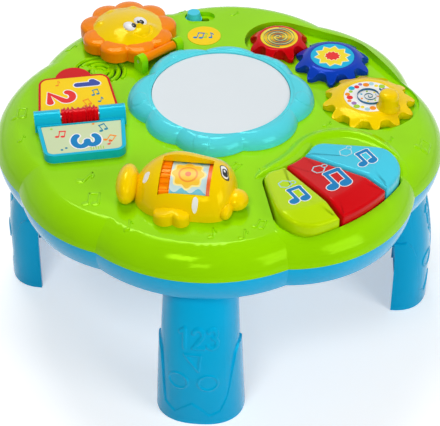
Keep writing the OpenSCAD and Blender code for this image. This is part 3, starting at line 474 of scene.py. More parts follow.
def sheet_faces(rows: int, cols: int, first: int = 0, closed: bool = False, inward: bool = False) -> list:
    """Faces between rows of points.

    Args:
        rows: Number of rows.
        cols: Points in a row.
        first: Number of the first point.
        closed: Whether the last row meets the first one.
        inward: Whether the faces look the other way.

    Returns:
        Four-sided faces.
    """
    faces = []
    for j in range(rows if closed else rows - 1):
        for i in range(cols - 1):
            a, b = first + j * cols + i, first + (j + 1) % rows * cols + i
            faces.append((a, b, b + 1, a + 1) if inward else (a, a + 1, b + 1, b))
    return faces


def raised(plan: np.ndarray, top: float | Height, lift: float | np.ndarray = 0.0) -> np.ndarray:
    """Puts the points of a plan at a height.

    Args:
        plan: The points.
        top: One height, or a height over the plan.
        lift: What is added to it.

    Returns:
        The points with their heights.
    """
    z = top(plan[:, 0], plan[:, 1]) if callable(top) else np.full(len(plan), float(top))
    return np.column_stack([plan, z + lift])


def plan_axes(x: float, y: float, size: float, turn: float) -> Callable[[float, float], Point]:
    """Axes of a drawing on a plan.

    Args:
        x: Place of its origin.
        y: Place of its origin.
        size: Length of its unit.
        turn: Turn of its first axis in degrees.

    Returns:
        A function from the drawing's axes to the plan.
    """
    c, s = math.cos(math.radians(turn)), math.sin(math.radians(turn))
    return lambda u, v: (x + (u * c - v * s) * size, y + (u * s + v * c) * size)


def ramp(gap: np.ndarray, width: float) -> np.ndarray:
    """0 below a line and 1 above it, with a straight slope of the given width between."""
    return np.clip(gap / width + 0.5, 0, 1)


def stroke_distance(x: np.ndarray, y: np.ndarray, line: Sequence[Point]) -> np.ndarray:
    """Distance of each point from a line of straight runs.

    Args:
        x: Places of the points.
        y: Places of the points.
        line: Corners of the line.

    Returns:
        The distances.
    """
    best = np.full(x.shape, FAR)
    for (ax, ay), (bx, by) in zip(line[:-1], line[1:]):
        dx, dy = bx - ax, by - ay
        long = max(dx * dx + dy * dy, 1e-9)
        t = np.clip(((x - ax) * dx + (y - ay) * dy) / long, 0, 1)
        best = np.minimum(best, np.hypot(x - ax - t * dx, y - ay - t * dy))
    return best


def arc(cx: float, cy: float, r: float, start: float, end: float, steps: int = 14) -> list[Point]:
    """Points along an arc.

    Args:
        cx: Its middle.
        cy: Its middle.
        r: Its radius.
        start: Angle of its first point in degrees.
        end: Angle of its last point.
        steps: Number of points.

    Returns:
        The points.
    """
    return [
        (cx + r * math.cos(math.radians(a)), cy + r * math.sin(math.radians(a)))
        for a in np.linspace(start, end, steps)
    ]


def digit_lines(digit: int) -> list[list[Point]]:
    """Centre lines of a plain digit, one unit high and about 0.6 wide.

    Args:
        digit: 1, 2 or 3.

    Returns:
        The lines of its strokes.
    """
    if digit == 1:
        return [[(0.34, 0.02), (0.34, 0.98)], [(0.12, 0.78), (0.34, 0.98)]]
    if digit == 2:
        return [arc(0.3, 0.72, 0.25, 165, -35) + [(0.06, 0.04), (0.58, 0.04)]]
    return [arc(0.28, 0.74, 0.22, 150, -80), arc(0.28, 0.28, 0.26, 85, -150)]


# ---------------------------------------------------------------- prints and small raised shapes


def ribbon_outline(line: Sequence[Point], half: float) -> list[Point]:
    """Outline of a stroke with round ends along a line.

    Args:
        line: Corners of the stroke's middle.
        half: Half the stroke's width.

    Returns:
        Corners of the outline, turning left.
    """
    pts = np.array(line, float)
    run = np.diff(pts, axis=0)
    run = run / np.maximum(np.linalg.norm(run, axis=1, keepdims=True), 1e-9)
    way = np.vstack([run[:1], (run[:-1] + run[1:]) / 2, run[-1:]])
    way = way / np.maximum(np.linalg.norm(way, axis=1, keepdims=True), 1e-9)
    side = np.column_stack([way[:, 1], -way[:, 0]]) * half
    right, left = pts + side, pts - side
    a1 = math.degrees(math.atan2(way[-1][1], way[-1][0]))
    a0 = math.degrees(math.atan2(way[0][1], way[0][0]))
    tip = arc(pts[-1][0], pts[-1][1], half, a1 - 90, a1 + 90, 8)[1:-1]
    tail = arc(pts[0][0], pts[0][1], half, a0 + 90, a0 + 270, 8)[1:-1]
    return [tuple(p) for p in right] + tip + [tuple(p) for p in left[::-1]] + tail


@dataclass
class Printed:
    """Coloured shapes on a face: outlines in the place's plan, each a thin closed sheet."""

    name: str
    place: Place
    body: str
    top: float | Height
    thick: float = 0.1
    shapes: dict[str, list] = field(default_factory=dict)
    sink: ClassVar[float] = 0.05
    smooth: ClassVar[float] = 30.0

    def add(self, ink: str, outline: Sequence[Point], lift: float = 0.0) -> None:
        """Adds one shape.

        Args:
            ink: Name of the print's finish.
            outline: Corners of the shape.
            lift: How far its top stands over the first layer.
        """
        self.shapes.setdefault(ink, []).append((np.array(outline, float), lift))

    def disc(self, ink: str, x: float, y: float, r: float, lift: float = 0.0) -> None:
        """Adds a disc.

        Args:
            ink: Name of the print's finish.
            x: Its middle.
            y: Its middle.
            r: Its radius.
            lift: How far its top stands over the first layer.
        """
        self.add(ink, arc(x, y, r, 0, 351, 40), lift)

    def stroke(self, ink: str, line: Sequence[Point], half: float, lift: float = 0.0) -> None:
        """Adds a stroke with round ends along a line.

        Args:
            ink: Name of the print's finish.
            line: Corners of its middle.
            half: Half its width.
            lift: How far its top stands over the first layer.
        """
        self.add(ink, ribbon_outline(line, half), lift)

    def note(self, ink: str, x: float, y: float, size: float, turn: float, double: bool = False) -> None:
        """Adds a plain musical note.

        Args:
            ink: Name of the print's finish.
            x: Place of its head.
            y: Place of its head.
            size: Height of its stem.
            turn: Direction of its stem in degrees, 90 for upright.
            double: Whether two notes are joined by a beam.
        """
        at = plan_axes(x, y, size, turn - 90)
        for hx, hy in [(0, 0), (0.62, 0.06)] if double else [(0, 0)]:
            round_head = np.linspace(0, 2 * math.pi, 20, endpoint=False)
            self.add(ink, [at(hx + 0.24 * math.cos(a), hy + 0.18 * math.sin(a)) for a in round_head])
            self.stroke(ink, [at(hx + 0.19, hy + 0.05), at(hx + 0.19, hy + 1)], 0.055 * size, 0.01)
        if double:
            self.stroke(ink, [at(0.19, 0.98), at(0.81, 1.04)], 0.1 * size, 0.02)
        else:
            self.stroke(ink, [at(0.19, 0.98), at(0.4, 0.78), at(0.42, 0.56)], 0.07 * size, 0.02)

    def digit(
        self, ink: str, digit: int, x: float, y: float, size: float, half: float, lift: float = 0.0, wide: float = 1.0
    ) -> None:
        """Adds a plain digit whose base line runs down the plan.

        Args:
            ink: Name of the print's finish.
            digit: 1, 2 or 3.
            x: Lower left corner.
            y: Lower left corner.
            size: Its height.
            half: Half the width of its stroke.
            lift: How far its top stands over the first layer.
            wide: How much wider than plain it is.
        """
        at = plan_axes(x, y, size, -90)
        for k, line in enumerate(digit_lines(digit)):
            self.stroke(ink, [at(u * wide, v) for u, v in line], half, lift + 0.005 * k)

    def build(self) -> None:
        """Makes one piece for each ink."""
        for ink, shapes in self.shapes.items():
            points: list = []
            faces: list = []
            for plan, lift in shapes:
                n, first = len(plan), len(points)
                points += [*raised(plan, self.top, -self.sink), *raised(plan, self.top, self.thick + lift)]
                faces += [range(first + n - 1, first - 1, -1), range(first + n, first + 2 * n)]
                faces += loop_faces(first, first + n, n)
            obj = mesh_object(f"{self.name}_{ink}", points, [tuple(f) for f in faces], self.place, self.smooth, True)
            show(obj, self.body, PRINTS[ink])


@dataclass
class Draped(Printed):
    """Printed strokes that follow a curved top."""

    sink: ClassVar[float] = 0.4
    smooth: ClassVar[float] = 40.0
    run: ClassVar[float] = 1.2

    def stroke(self, ink: str, line: Sequence[Point], half: float, lift: float = 0.0) -> None:
        """Adds a stroke in short runs, so that it follows the top.

        Args:
            ink: Name of the print's finish.
            line: Corners of its middle.
            half: Half its width.
            lift: How far its top stands over the first layer.
        """
        fine = []
        for (ax, ay), (bx, by) in zip(line[:-1], line[1:]):
            cuts = max(2, int(math.hypot(bx - ax, by - ay) / self.run) + 1)
            fine += [(ax + (bx - ax) * k / cuts, ay + (by - ay) * k / cuts) for k in range(cuts)]
        super().stroke(ink, [*fine, line[-1]], half, lift)


# ---------------------------------------------------------------- node trees


class Rule:
    """A node tree with named inputs that shapes a piece and is then baked into its mesh."""

    def __init__(self, name: str, inputs: dict[str, tuple[str, object]]) -> None:
        """Starts the tree with its inputs.

        Args:
            name: Name of the tree.
            inputs: Socket type and value of each input besides the geometry.
        """
        self.tree = bpy.data.node_groups.new(name, "GeometryNodeTree")
        sockets = self.tree.interface
        sockets.new_socket("Geometry", in_out="INPUT", socket_type="NodeSocketGeometry")
        self.values = {}
        for label, (kind, value) in inputs.items():
            socket = sockets.new_socket(label, in_out="INPUT", socket_type="NodeSocket" + kind)
            self.values[socket.identifier] = value
        sockets.new_socket("Geometry", in_out="OUTPUT", socket_type="NodeSocketGeometry")
        self.given = self.tree.nodes.new("NodeGroupInput").outputs

    def apply(self, obj: bpy.types.Object, result: bpy.types.NodeSocket) -> None:
        """Ends the tree and bakes it into a piece.

        Args:
            obj: The piece.
            result: The socket with the shaped geometry.
        """
        real = flow(self.tree, "GeometryNodeRealizeInstances", {0: result})
        paint = {"Geometry": real, "Material": self.given["Finish"]}
        add_node(self.tree, "NodeGroupOutput", {0: flow(self.tree, "GeometryNodeSetMaterial", paint)})
        mod = obj.modifiers.new(self.tree.name, "NODES")
        mod.node_group = self.tree
        for key, value in self.values.items():
            mod[key] = value
        baked(obj)


def copies_round_axis(obj: bpy.types.Object, count: int, finish: Finish, merge: float) -> None:
    """Repeats a mesh round the Z axis of its own millimetres with a node tree.

    Args:
        obj: Piece with one copy's mesh.
        count: Copies in a full turn.
        finish: Finish that the tree sets.
        merge: Distance under which points of neighbouring copies join.
    """
    rule = Rule("copies_round_axis", {
        "Count": ("Int", count), "Merge": ("Float", merge), "Finish": ("Material", finish.material()),
    })
    tree, given = rule.tree, rule.given
    step = flow(tree, "ShaderNodeMath", {0: 2 * math.pi, 1: given["Count"]}, operation="DIVIDE")
    index = flow(tree, "GeometryNodeInputIndex")
    turn = flow(tree, "ShaderNodeMath", {0: index, 1: step}, operation="MULTIPLY")
    copies = flow(tree, "GeometryNodeInstanceOnPoints", {
        "Points": flow(tree, "GeometryNodePoints", {"Count": given["Count"]}),
        "Instance": given["Geometry"],
        "Rotation": flow(tree, "FunctionNodeEulerToRotation", {0: flow(tree, "ShaderNodeCombineXYZ", {"Z": turn})}),
    })
    real = flow(tree, "GeometryNodeRealizeInstances", {0: copies})
    rule.apply(obj, flow(tree, "GeometryNodeMergeByDistance", {"Geometry": real, "Distance": given["Merge"]}))


def ribbon_on_path(name: str, line: np.ndarray, breadth: float, thick: float, finish: Finish) -> bpy.types.Object:
    """Lays a flat ribbon along a path with a node tree.

    Args:
        name: Name of the piece.
        line: The path in millimetres.
        breadth: Width of the ribbon.
        thick: Height of the ribbon.
        finish: Finish that the tree sets.

    Returns:
        A piece in millimetres, before its place is applied.
    """
    obj = raw_object(name, line, [], [(i, i + 1) for i in range(len(line) - 1)])
    rule = Rule("ribbon_on_path", {
        "Breadth": ("Float", breadth), "Thickness": ("Float", thick), "Finish": ("Material", finish.material()),
    })
    tree, given = rule.tree, rule.given
    curve = flow(tree, "GeometryNodeMeshToCurve", {0: given["Geometry"]})
    section = {"Width": given["Thickness"], "Height": given["Breadth"]}
    rule.apply(obj, flow(tree, "GeometryNodeCurveToMesh", {
        "Curve": flow(tree, "GeometryNodeSetCurveNormal", {0: curve}, mode="Z_UP"),
        "Profile Curve": flow(tree, "GeometryNodeCurvePrimitiveQuadrilateral", section),
        "Fill Caps": True,
    }))
    return obj


def settle(obj: bpy.types.Object, place: Place, angle: float = 35) -> bpy.types.Object:
    """Puts a piece made in its own millimetres in its place, in its mesh.

    Args:
        obj: The piece.
        place: Where its axes lie.
        angle: Angle in degrees over which an edge stays sharp.

    Returns:
        The same piece.
    """
    obj.data.transform(place.matrix())
    fix_normals(obj)
    soften(obj, angle)
    return obj


def pillow(
    name: str,
    outline: np.ndarray,
    top: Height,
    low: float,
    edge: float,
    place: Place,
    middle: Point = (0.0, 0.0),
    rings: int = 26,
    smooth: float = 60,
) -> bpy.types.Object:
    """Makes a closed solid over an outline, with a shaped top and a rounded upper edge.

    Args:
        name: Name of the piece.
        outline: Points of the plan, turning left and seen whole from the middle.
        top: Height of the top over the plan.
        low: Height of the underside.
        edge: Radius of the rounding.
        place: Where the axes lie.
        middle: Point that the rings close on.
        rings: Rings of the top inside the rounding.
        smooth: Angle in degrees over which an edge stays sharp.

    Returns:
        The piece.
    """
    ahead = np.roll(outline, -1, 0) - np.roll(outline, 1, 0)
    ahead /= np.linalg.norm(ahead, axis=1, keepdims=True)
    inward = np.column_stack([-ahead[:, 1], ahead[:, 0]])
    mid = np.array(middle)
    seat = outline + inward * edge
    crown = top(seat[:, 0], seat[:, 1])
    layers = [raised(outline, low)]
    for turn in np.linspace(0, math.pi / 2, 7)[:-1]:
        plan = outline + inward * (edge * (1 - math.cos(turn)))
        layers.append(np.column_stack([plan, crown - edge * (1 - math.sin(turn))]))
    for share in np.linspace(1, 0, rings, endpoint=False):
        layers.append(raised(mid + (seat - mid) * share, top))
    points, faces = stack(layers)
    points[-1, 2] = raised(mid[None], top)[0, 2]
    return mesh_object(name, points, faces, place, smooth)


def lobed_outline(lobes: np.ndarray, count: int = 720) -> np.ndarray:
    """Outline of overlapping discs round the origin, by azimuth.

    Args:
        lobes: Middle and radius of each disc.
        count: Points in the outline.

    Returns:
        Points that turn left.
    """
    a = np.linspace(0, 2 * np.pi, count, endpoint=False)
    way = np.column_stack([np.cos(a), np.sin(a)])
    along = way @ lobes[:, :2].T
    off = (lobes[:, 0] ** 2 + lobes[:, 1] ** 2) - along**2
    reach = along + np.sqrt(np.maximum(lobes[:, 2] ** 2 - off, 0))
    reach[off > lobes[:, 2] ** 2] = 0
    return way * reach.max(1, keepdims=True)


def lobe_discs(rows: Sequence[tuple[float, float, float]], reach: float) -> np.ndarray:
    """Discs of a lobed outline.

    Args:
        rows: Azimuth, setback and distance of the middle of each lobe.
        reach: Reach of a lobe without setback.

    Returns:
        Middle and radius of each disc.
    """
    azimuth, back, mid = np.array(rows, float).T
    a = np.radians(azimuth)
    return np.column_stack([mid * np.cos(a), mid * np.sin(a), reach - back - mid])


def depth_inside(discs: np.ndarray, x: np.ndarray, y: np.ndarray) -> np.ndarray:
    """How deep each point lies inside the discs' outline."""
    gaps = [r - np.hypot(x - cx, y - cy) for cx, cy, r in discs]
    return np.max(gaps, axis=0)


# ---------------------------------------------------------------- sub-assemblies


def dress(node: str, finish: Finish) -> None:
    """Gives a CAD node that keeps its shape a better material.

    Args:
        node: Name of the CAD node.
        finish: Its finish.
    """
    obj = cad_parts[node]
    if not obj.material_slots:
        obj.data.materials.append(finish.material())
    for held in obj.material_slots:
        held.material = finish.material()


SPEAKER_AT = (-84.0, 51.0)
LEG_TURNS = {"front": -95.4, "right": -5.4, "back": 84.6, "left": 174.6}


@dataclass
class Shells:
    """The green top and the blue base with what is hidden in them."""

    table_r: float = 152.5
    top_z: float = 142.0
    rim_r: float = 22.0
    rim_edge: float = 12.0
    note_high: float = 0.5
    rib_half: float = 1.35
    rib_high: float = 0.9
    rib_radii: tuple = (4.6, 9.25, 13.75, 18.4)
    lobes: tuple = (
        (-4, 0, 60.5), (39, 2, 62.5), (81, 1, 51.5), (128, 1.5, 50),
        (177, 0, 46.5), (220, 4.5, 60), (262, 3.3, 45), (311, 0, 66),
    )
    notes: tuple = (
        (-138, -2, 9, 90, True), (-132, -28, 6, 80, False), (-89, -71, 11, 60, False), (-84, -94, 10, 90, True),
        (-57, -118, 8, 90, False), (-5, -126, 8, 90, False), (14, -127, 8, 85, False), (22, -116, 7, 70, True),
        (6, -57, 7, 55, True), (10, 124, 6, 60, False), (131, -34, 9, 75, True), (113, -29, 5, 80, False),
        (71, -12, 6, 60, False), (-108, 80, 8, 60, False), (-28, 130, 6, 80, False),
    )

    def surface(self, x: np.ndarray, y: np.ndarray) -> np.ndarray:
        """Height of the green top over the plan.

        Args:
            x: Plan places on its own axes.
            y: Plan places on its own axes.

        Returns:
            The heights.
        """
        depth = depth_inside(lobe_discs(self.lobes, self.table_r), x, y)
        low = self.top_z - self.rim_r * math.cos(math.radians(self.rim_edge))
        fall = np.clip(self.rim_r - depth, 0, self.rim_r)
        return np.minimum(low + np.sqrt(self.rim_r**2 - fall**2), self.top_z)

    def bead(self, line: Sequence[Point], half: float, high: float) -> tuple[np.ndarray, list]:
        """A raised stroke with sloping sides on the top.

        Args:
            line: Corners of its middle.
            half: Half its width at the foot.
            high: Its height.

        Returns:
            Its points and faces.
        """
        outer, inner = (np.array(ribbon_outline(line, width)) for width in (half, half * 0.55))
        layers = ((outer, -0.6), (outer, 0.1), (inner, high))
        return flat_ends([raised(plan, self.surface, lift) for plan, lift in layers])

    def build(self) -> None:
        """Dresses the shells and raises the notes and the ribs round the speaker's slots."""
        smooth_node("top_shell", "table", GREEN, 26)
        smooth_node("base_shell", "table", BASE_BLUE, 26)
        smooth_node("battery_door", "table", BASE_BLUE)
        strokes = [(line, half, self.note_high) for row in self.notes for line, half in note_lines(*row)]
        for radius in self.rib_radii:
            for third in (0, 120, 240):
                start = third + 5 * radius + 5
                strokes.append((arc(*SPEAKER_AT, radius, start, start + 74, 18), self.rib_half, self.rib_high))
        points: list = []
        faces: list = []
        for line, half, high in strokes:
            more, cells = self.bead(line, half, high)
            faces += [tuple(len(points) + i for i in cell) for cell in cells]
            points += list(more)
        show(mesh_object("raised_notes", points, faces, AT_TABLE, 50, True), "table", GREEN)
        for finish, nodes in (
            (STEEL, ("battery_door_screw", "battery_contacts", "case_screws", "gear_screws", "key_pins", "lion_pin",
                     "book_pin", "roller_axle")),
            (CELL, ("batteries",)), (BOARD, ("circuit_board", "key_board")), (LAMP, ("led_lamps",)),
            (SILICONE, ("drum_domes", "key_domes")), (DARK, ("speaker", "switch_body")),
            (WHITE, ("speaker_clamp", "drum_reflector")),
        ):
            for node in nodes:
                dress(node, finish)


def flat_ends(layers: Sequence[np.ndarray]) -> tuple[np.ndarray, list]:
    """Joins rings into a closed shape with one many-sided face at each end.

    Args:
        layers: Rings of the same length that turn left, from the lowest up.

    Returns:
        The points and the faces.
    """
    points, sides = stack(layers, close_ends=False)
    count, last = len(layers[0]), len(points) - len(layers[0])
    return points, [tuple(range(count - 1, -1, -1)), *sides, tuple(range(last, last + count))]


def note_lines(x: float, y: float, size: float, turn: float, double: bool) -> list:
    """Strokes of a plain note: its heads as short wide strokes, its stems and its flag or beam.

    Args:
        x: Place of its head.
        y: Place of its head.
        size: Height of its stem.
        turn: Direction of its stem in degrees.
        double: Whether two notes are joined by a beam.

    Returns:
        Pairs of a line and half its width.
    """
    at = plan_axes(x, y, size, turn - 90)
    rows = []
    for hx in (0, 0.62) if double else (0,):
        rows.append(([at(hx - 0.06, -0.02), at(hx + 0.06, 0.02)], 0.22 * size))
        rows.append(([at(hx + 0.2, 0), at(hx + 0.2, 1)], 0.09 * size))
    if double:
        rows.append(([at(0.2, 1), at(0.82, 1.04)], 0.12 * size))
    else:
        rows.append(([at(0.2, 1), at(0.42, 0.8), at(0.44, 0.6)], 0.08 * size))
    return rows


@dataclass
class Leg:
    """A channel leg with a stepped sock and raised numerals and shapes."""

    name: str
    turn: float
    height: float = 107.0
    width: float = 59.4
    top_width: float = 50.0
    deep: float = 25.6
    top_deep: float = 22.0
    front: float = 151.4
    lean: float = 12.0
    straight: float = 40.0
    wall: float = 2.6
    power: float = 2.4
    sock: tuple = (
        (-90, 60), (-73, 60), (-64, 56), (-57, 47), (-46, 15), (-27, 9), (-4.5, 19), (12, 8),
        (27, 11.5), (40, 24), (52, 45), (62, 56), (73, 60), (90, 60),
    )
    triangle: tuple = ((-8.2, 61), (2.4, 61), (1.2, 48.5), (-8.2, 61))
    rings: tuple = ((-12.6, 38, 6.4), (7.4, 38, 6.4))
    digits_y: float = -12.4
    digits_z: float = 66.0
    digit_step: float = 9.4
    digit_size: Point = (12.5, 15.0)

    def point(self, t: np.ndarray, z: np.ndarray, inset: np.ndarray) -> np.ndarray:
        """Points of the leg's side on its own axes.

        Args:
            t: Angle round the side in degrees, 0 in front.
            z: Heights.
            inset: Depths under the plain side.

        Returns:
            The points.
        """
        bow = np.where(z < self.straight, 0, np.abs((z - self.straight) / (self.height - self.straight)) ** 1.5)
        w = (self.width + (self.top_width - self.width) * z / self.height) / 2 - inset
        d = self.deep + (self.top_deep - self.deep) * bow
        front = self.front - self.lean * bow
        c, s = np.cos(np.radians(t)), np.sin(np.radians(t))
        x = front - d + np.abs(c) ** (2 / self.power) * (d - inset)
        y = np.sign(s) * np.abs(s) ** (2 / self.power) * w
        return np.stack([x, y, z], -1)

    def relief(self, t: np.ndarray, z: np.ndarray) -> np.ndarray:
        """How far the side stands out or back: sock, numerals, triangle and two rings.

        Args:
            t: Angles round the side.
            z: Heights.

        Returns:
            The rise in millimetres, negative above the sock.
        """
        y = self.point(t, z, np.zeros_like(t))[..., 1]
        line = np.interp(t, [p[0] for p in self.sock], [p[1] for p in self.sock])
        side = 0.75 + 0.5 * np.clip((np.abs(t) - 38) / 22, 0, 1)
        rise = 0.02 - side * ramp(z - line, 0.7)
        gap = np.full(t.shape, FAR)
        wide, high = self.digit_size
        for k, digit in enumerate((1, 2, 3)):
            for stroke in digit_lines(digit):
                pts = [(self.digits_y + self.digit_step * k + u * wide, self.digits_z + v * high) for u, v in stroke]
                gap = np.minimum(gap, stroke_distance(y, z, pts))
        rise = rise + 0.8 * ramp(1.25 - gap, 0.6)
        gap = stroke_distance(y, z, self.triangle)
        for ring_y, ring_z, ring_r in self.rings:
            gap = np.minimum(gap, np.abs(np.hypot(y - ring_y, z - ring_z) - ring_r))
        return rise + 0.7 * ramp(0.75 - gap, 0.6)

    def build(self) -> None:
        """Makes the leg: its outer side in fine rings, its inner side, its foot and its top."""
        around = np.linspace(-90, 90, 260)
        tt, zz = np.meshgrid(around, np.linspace(0, self.height, 210))
        outer = self.point(tt, zz, -self.relief(tt, zz))
        outer[..., 1] = np.clip(outer[..., 1], -self.width / 2 - 0.02, self.width / 2 + 0.02)
        ti, zi = np.meshgrid([*around[::4], 90.0], np.linspace(0, self.height, 24))
        inner = self.point(ti, zi, np.full_like(ti, self.wall))
        out = np.arange(tt.size).reshape(tt.shape)
        into = tt.size + np.arange(ti.size).reshape(ti.shape)
        faces = sheet_faces(*tt.shape) + sheet_faces(*ti.shape, first=tt.size, inward=True)
        for rim in (
            (into[0], out[0, ::-1]), (out[-1], into[-1, ::-1]),
            (out[:, 0], into[::-1, 0]), (into[:, -1], out[::-1, -1]),
        ):
            faces.append(tuple(np.concatenate(rim).tolist()))
        points = np.vstack([outer.reshape(-1, 3), inner.reshape(-1, 3)])
        obj = mesh_object(self.name + "_moulding", points, faces, Place(0, 0, 0, self.turn), 50, True)
        soften(obj, 50)
        show(obj, "table", BASE_BLUE, [self.name])


@dataclass
class Drum:
    """The lobed cyan ring and the milky skin."""

    place: Place = field(default_factory=lambda: Place(1.5, 14.5))
    ring_r: float = 64.0
    round_r: float = 10.4
    top: float = 152.0
    hole_r: float = 47.3
    foot: float = 139.2
    rings: int = 56
    thumbs: tuple = ((-172, 55.5), (-103, 56.5), (-7, 56), (77, 47.5), (124, 55), (40, 53.5))
    lobes: tuple = (
        (3, 0, 34), (44, 4, 26), (82, 3, 31), (127, 0.5, 31.5), (178, 0, 34), (221, 5, 33), (261, 3, 31), (312, 3, 28),
    )

    def height(self, x: np.ndarray, y: np.ndarray) -> np.ndarray:
        """Height of the ring: a rounded side, a flat top, raised thumb marks and a step round the skin.

        Args:
            x: Plan places on its own axes.
            y: Plan places on its own axes.

        Returns:
            The heights.
        """
        depth = depth_inside(lobe_discs(self.lobes, self.ring_r), x, y)
        fall = np.clip(self.round_r - depth, 0, self.round_r)
        z = self.top - 10.17 + np.sqrt(np.maximum(self.round_r**2 - fall**2, 0))
        z = np.minimum(z, self.top)
        far = np.hypot(x, y)
        for azimuth, middle in self.thumbs:
            a = math.radians(azimuth)
            gap = 5.6 - np.hypot(x - middle * math.cos(a), y - middle * math.sin(a))
            z = z + 0.55 * ramp(gap, 0.7) * ramp(far - 50.7, 0.6)
        return z - 0.7 * ramp(49.6 - far, 0.5)

    def build(self) -> None:
        """Makes the ring and dresses the skin."""
        outline = lobed_outline(lobe_discs(self.lobes, self.ring_r), 1080)
        way = outline / np.linalg.norm(outline, axis=1, keepdims=True)
        layers = [raised(way * self.hole_r, self.foot), raised(outline, self.foot)]
        for share in 1 - np.linspace(0, 1, self.rings) ** 1.6:
            layers.append(raised(way * self.hole_r + (outline - way * self.hole_r) * share, self.height))
        points, faces = stack(layers, close_ends=False)
        faces += loop_faces((len(layers) - 1) * len(way), 0, len(way))
        obj = mesh_object("drum_ring_moulding", points, faces, self.place, 50, True)
        soften(obj, 50)
        show(obj, "table", RING_CYAN, ["drum_ring"])
        smooth_node("drum_skin", "drum_pad", MILKY)


@dataclass
class Gear:
    """A toothed wheel with a flared face, repeated tooth by tooth by a node tree."""

    name: str
    body: str
    slot: str
    finish: Finish
    place: Place
    teeth: int
    face_r: float
    drop: float = 5.6
    module: float = 4.88
    low: float = 136.3
    high: float = 8.4
    fill: float = 0.44
    flank: float = 0.3
    tip: float = 2.8
    root: float = 3.4
    bore: float = 7.2
    edge: float = 0.9
    steps: int = 37

    def reach(self, turn: np.ndarray) -> np.ndarray:
        """Radius of the outline at angles from a tooth's middle, in radians.

        Args:
            turn: The angles.

        Returns:
            The radii.
        """
        pitch = self.module * self.teeth / 2
        root = pitch - self.root
        half = self.fill * math.pi * self.module / 2
        tip = half - self.flank * self.tip * 0.55
        foot, tip_x = half + self.flank * self.root, pitch + self.tip - tip
        tooth = np.zeros_like(turn)
        for k, angle in enumerate(turn):
            best = root
            for r in np.linspace(root, pitch + self.tip, 160):
                x, y = r * math.cos(angle), abs(r * math.sin(angle))
                flank = foot + (tip - foot) * (x - (root - 1)) / (tip_x - (root - 1))
                if (x <= tip_x and y <= flank) or math.hypot(x - tip_x, y) <= tip:
                    best = r
            tooth[k] = best
        soft = np.convolve(np.concatenate([tooth[-3:], tooth, tooth[:3]]), np.ones(7) / 7, "valid")
        return np.minimum(soft, np.maximum(tooth, root + 0.6))

    def build(self) -> None:
        """Makes one tooth's wedge, repeats it and dresses the wheel."""
        turn = np.linspace(-math.pi / self.teeth, math.pi / self.teeth, self.steps)
        reach = self.reach(turn)
        crest = reach - self.edge
        hub, top = self.face_r + 1.6, self.low + self.high
        tip = self.module * self.teeth / 2 + self.tip

        def slope(radius: np.ndarray) -> np.ndarray:
            """Height of the flared face at a radius."""
            return top - self.drop * np.clip((radius - hub) / (tip - hub), 0, 1) ** 1.45

        rows = [(self.bore, self.low), (reach * 0.985, self.low), (reach, self.low + 0.5)]
        for t in np.linspace(0, math.pi / 2, 6):
            rows.append((reach - self.edge * (1 - math.cos(t)), slope(crest) - self.edge * (1 - math.sin(t))))
        for share in np.linspace(0, 1, 9)[1:]:
            radius = crest * (1 - share) + (hub + 0.5) * share
            rows.append((radius, slope(radius)))
        rows += [(hub, top - 0.06), (hub - 0.5, top), (self.face_r + 0.15, top), (self.face_r + 0.1, top - 0.4),
                 (self.bore, top - 0.4)]
        points = np.vstack([polar(r, turn, z) for r, z in rows])
        obj = raw_object(self.name + "_moulding", points, sheet_faces(len(rows), self.steps, closed=True))
        copies_round_axis(obj, self.teeth, self.finish, 0.004)
        settle(obj, self.place, 38)
        show(obj, self.body, self.finish, [self.name])


def spiral(turns: float, inner: float, outer: float, start: float = 0.0, steps: int = 90) -> np.ndarray:
    """Points of a spiral in the plan, at height zero.

    Args:
        turns: Number of turns.
        inner: Radius of its first point.
        outer: Radius of its last point.
        start: Angle of its first point in radians.
        steps: Number of points.

    Returns:
        The points.
    """
    t = np.linspace(0, 1, steps)
    return polar(inner + (outer - inner) * t, start + t * turns * 2 * math.pi)


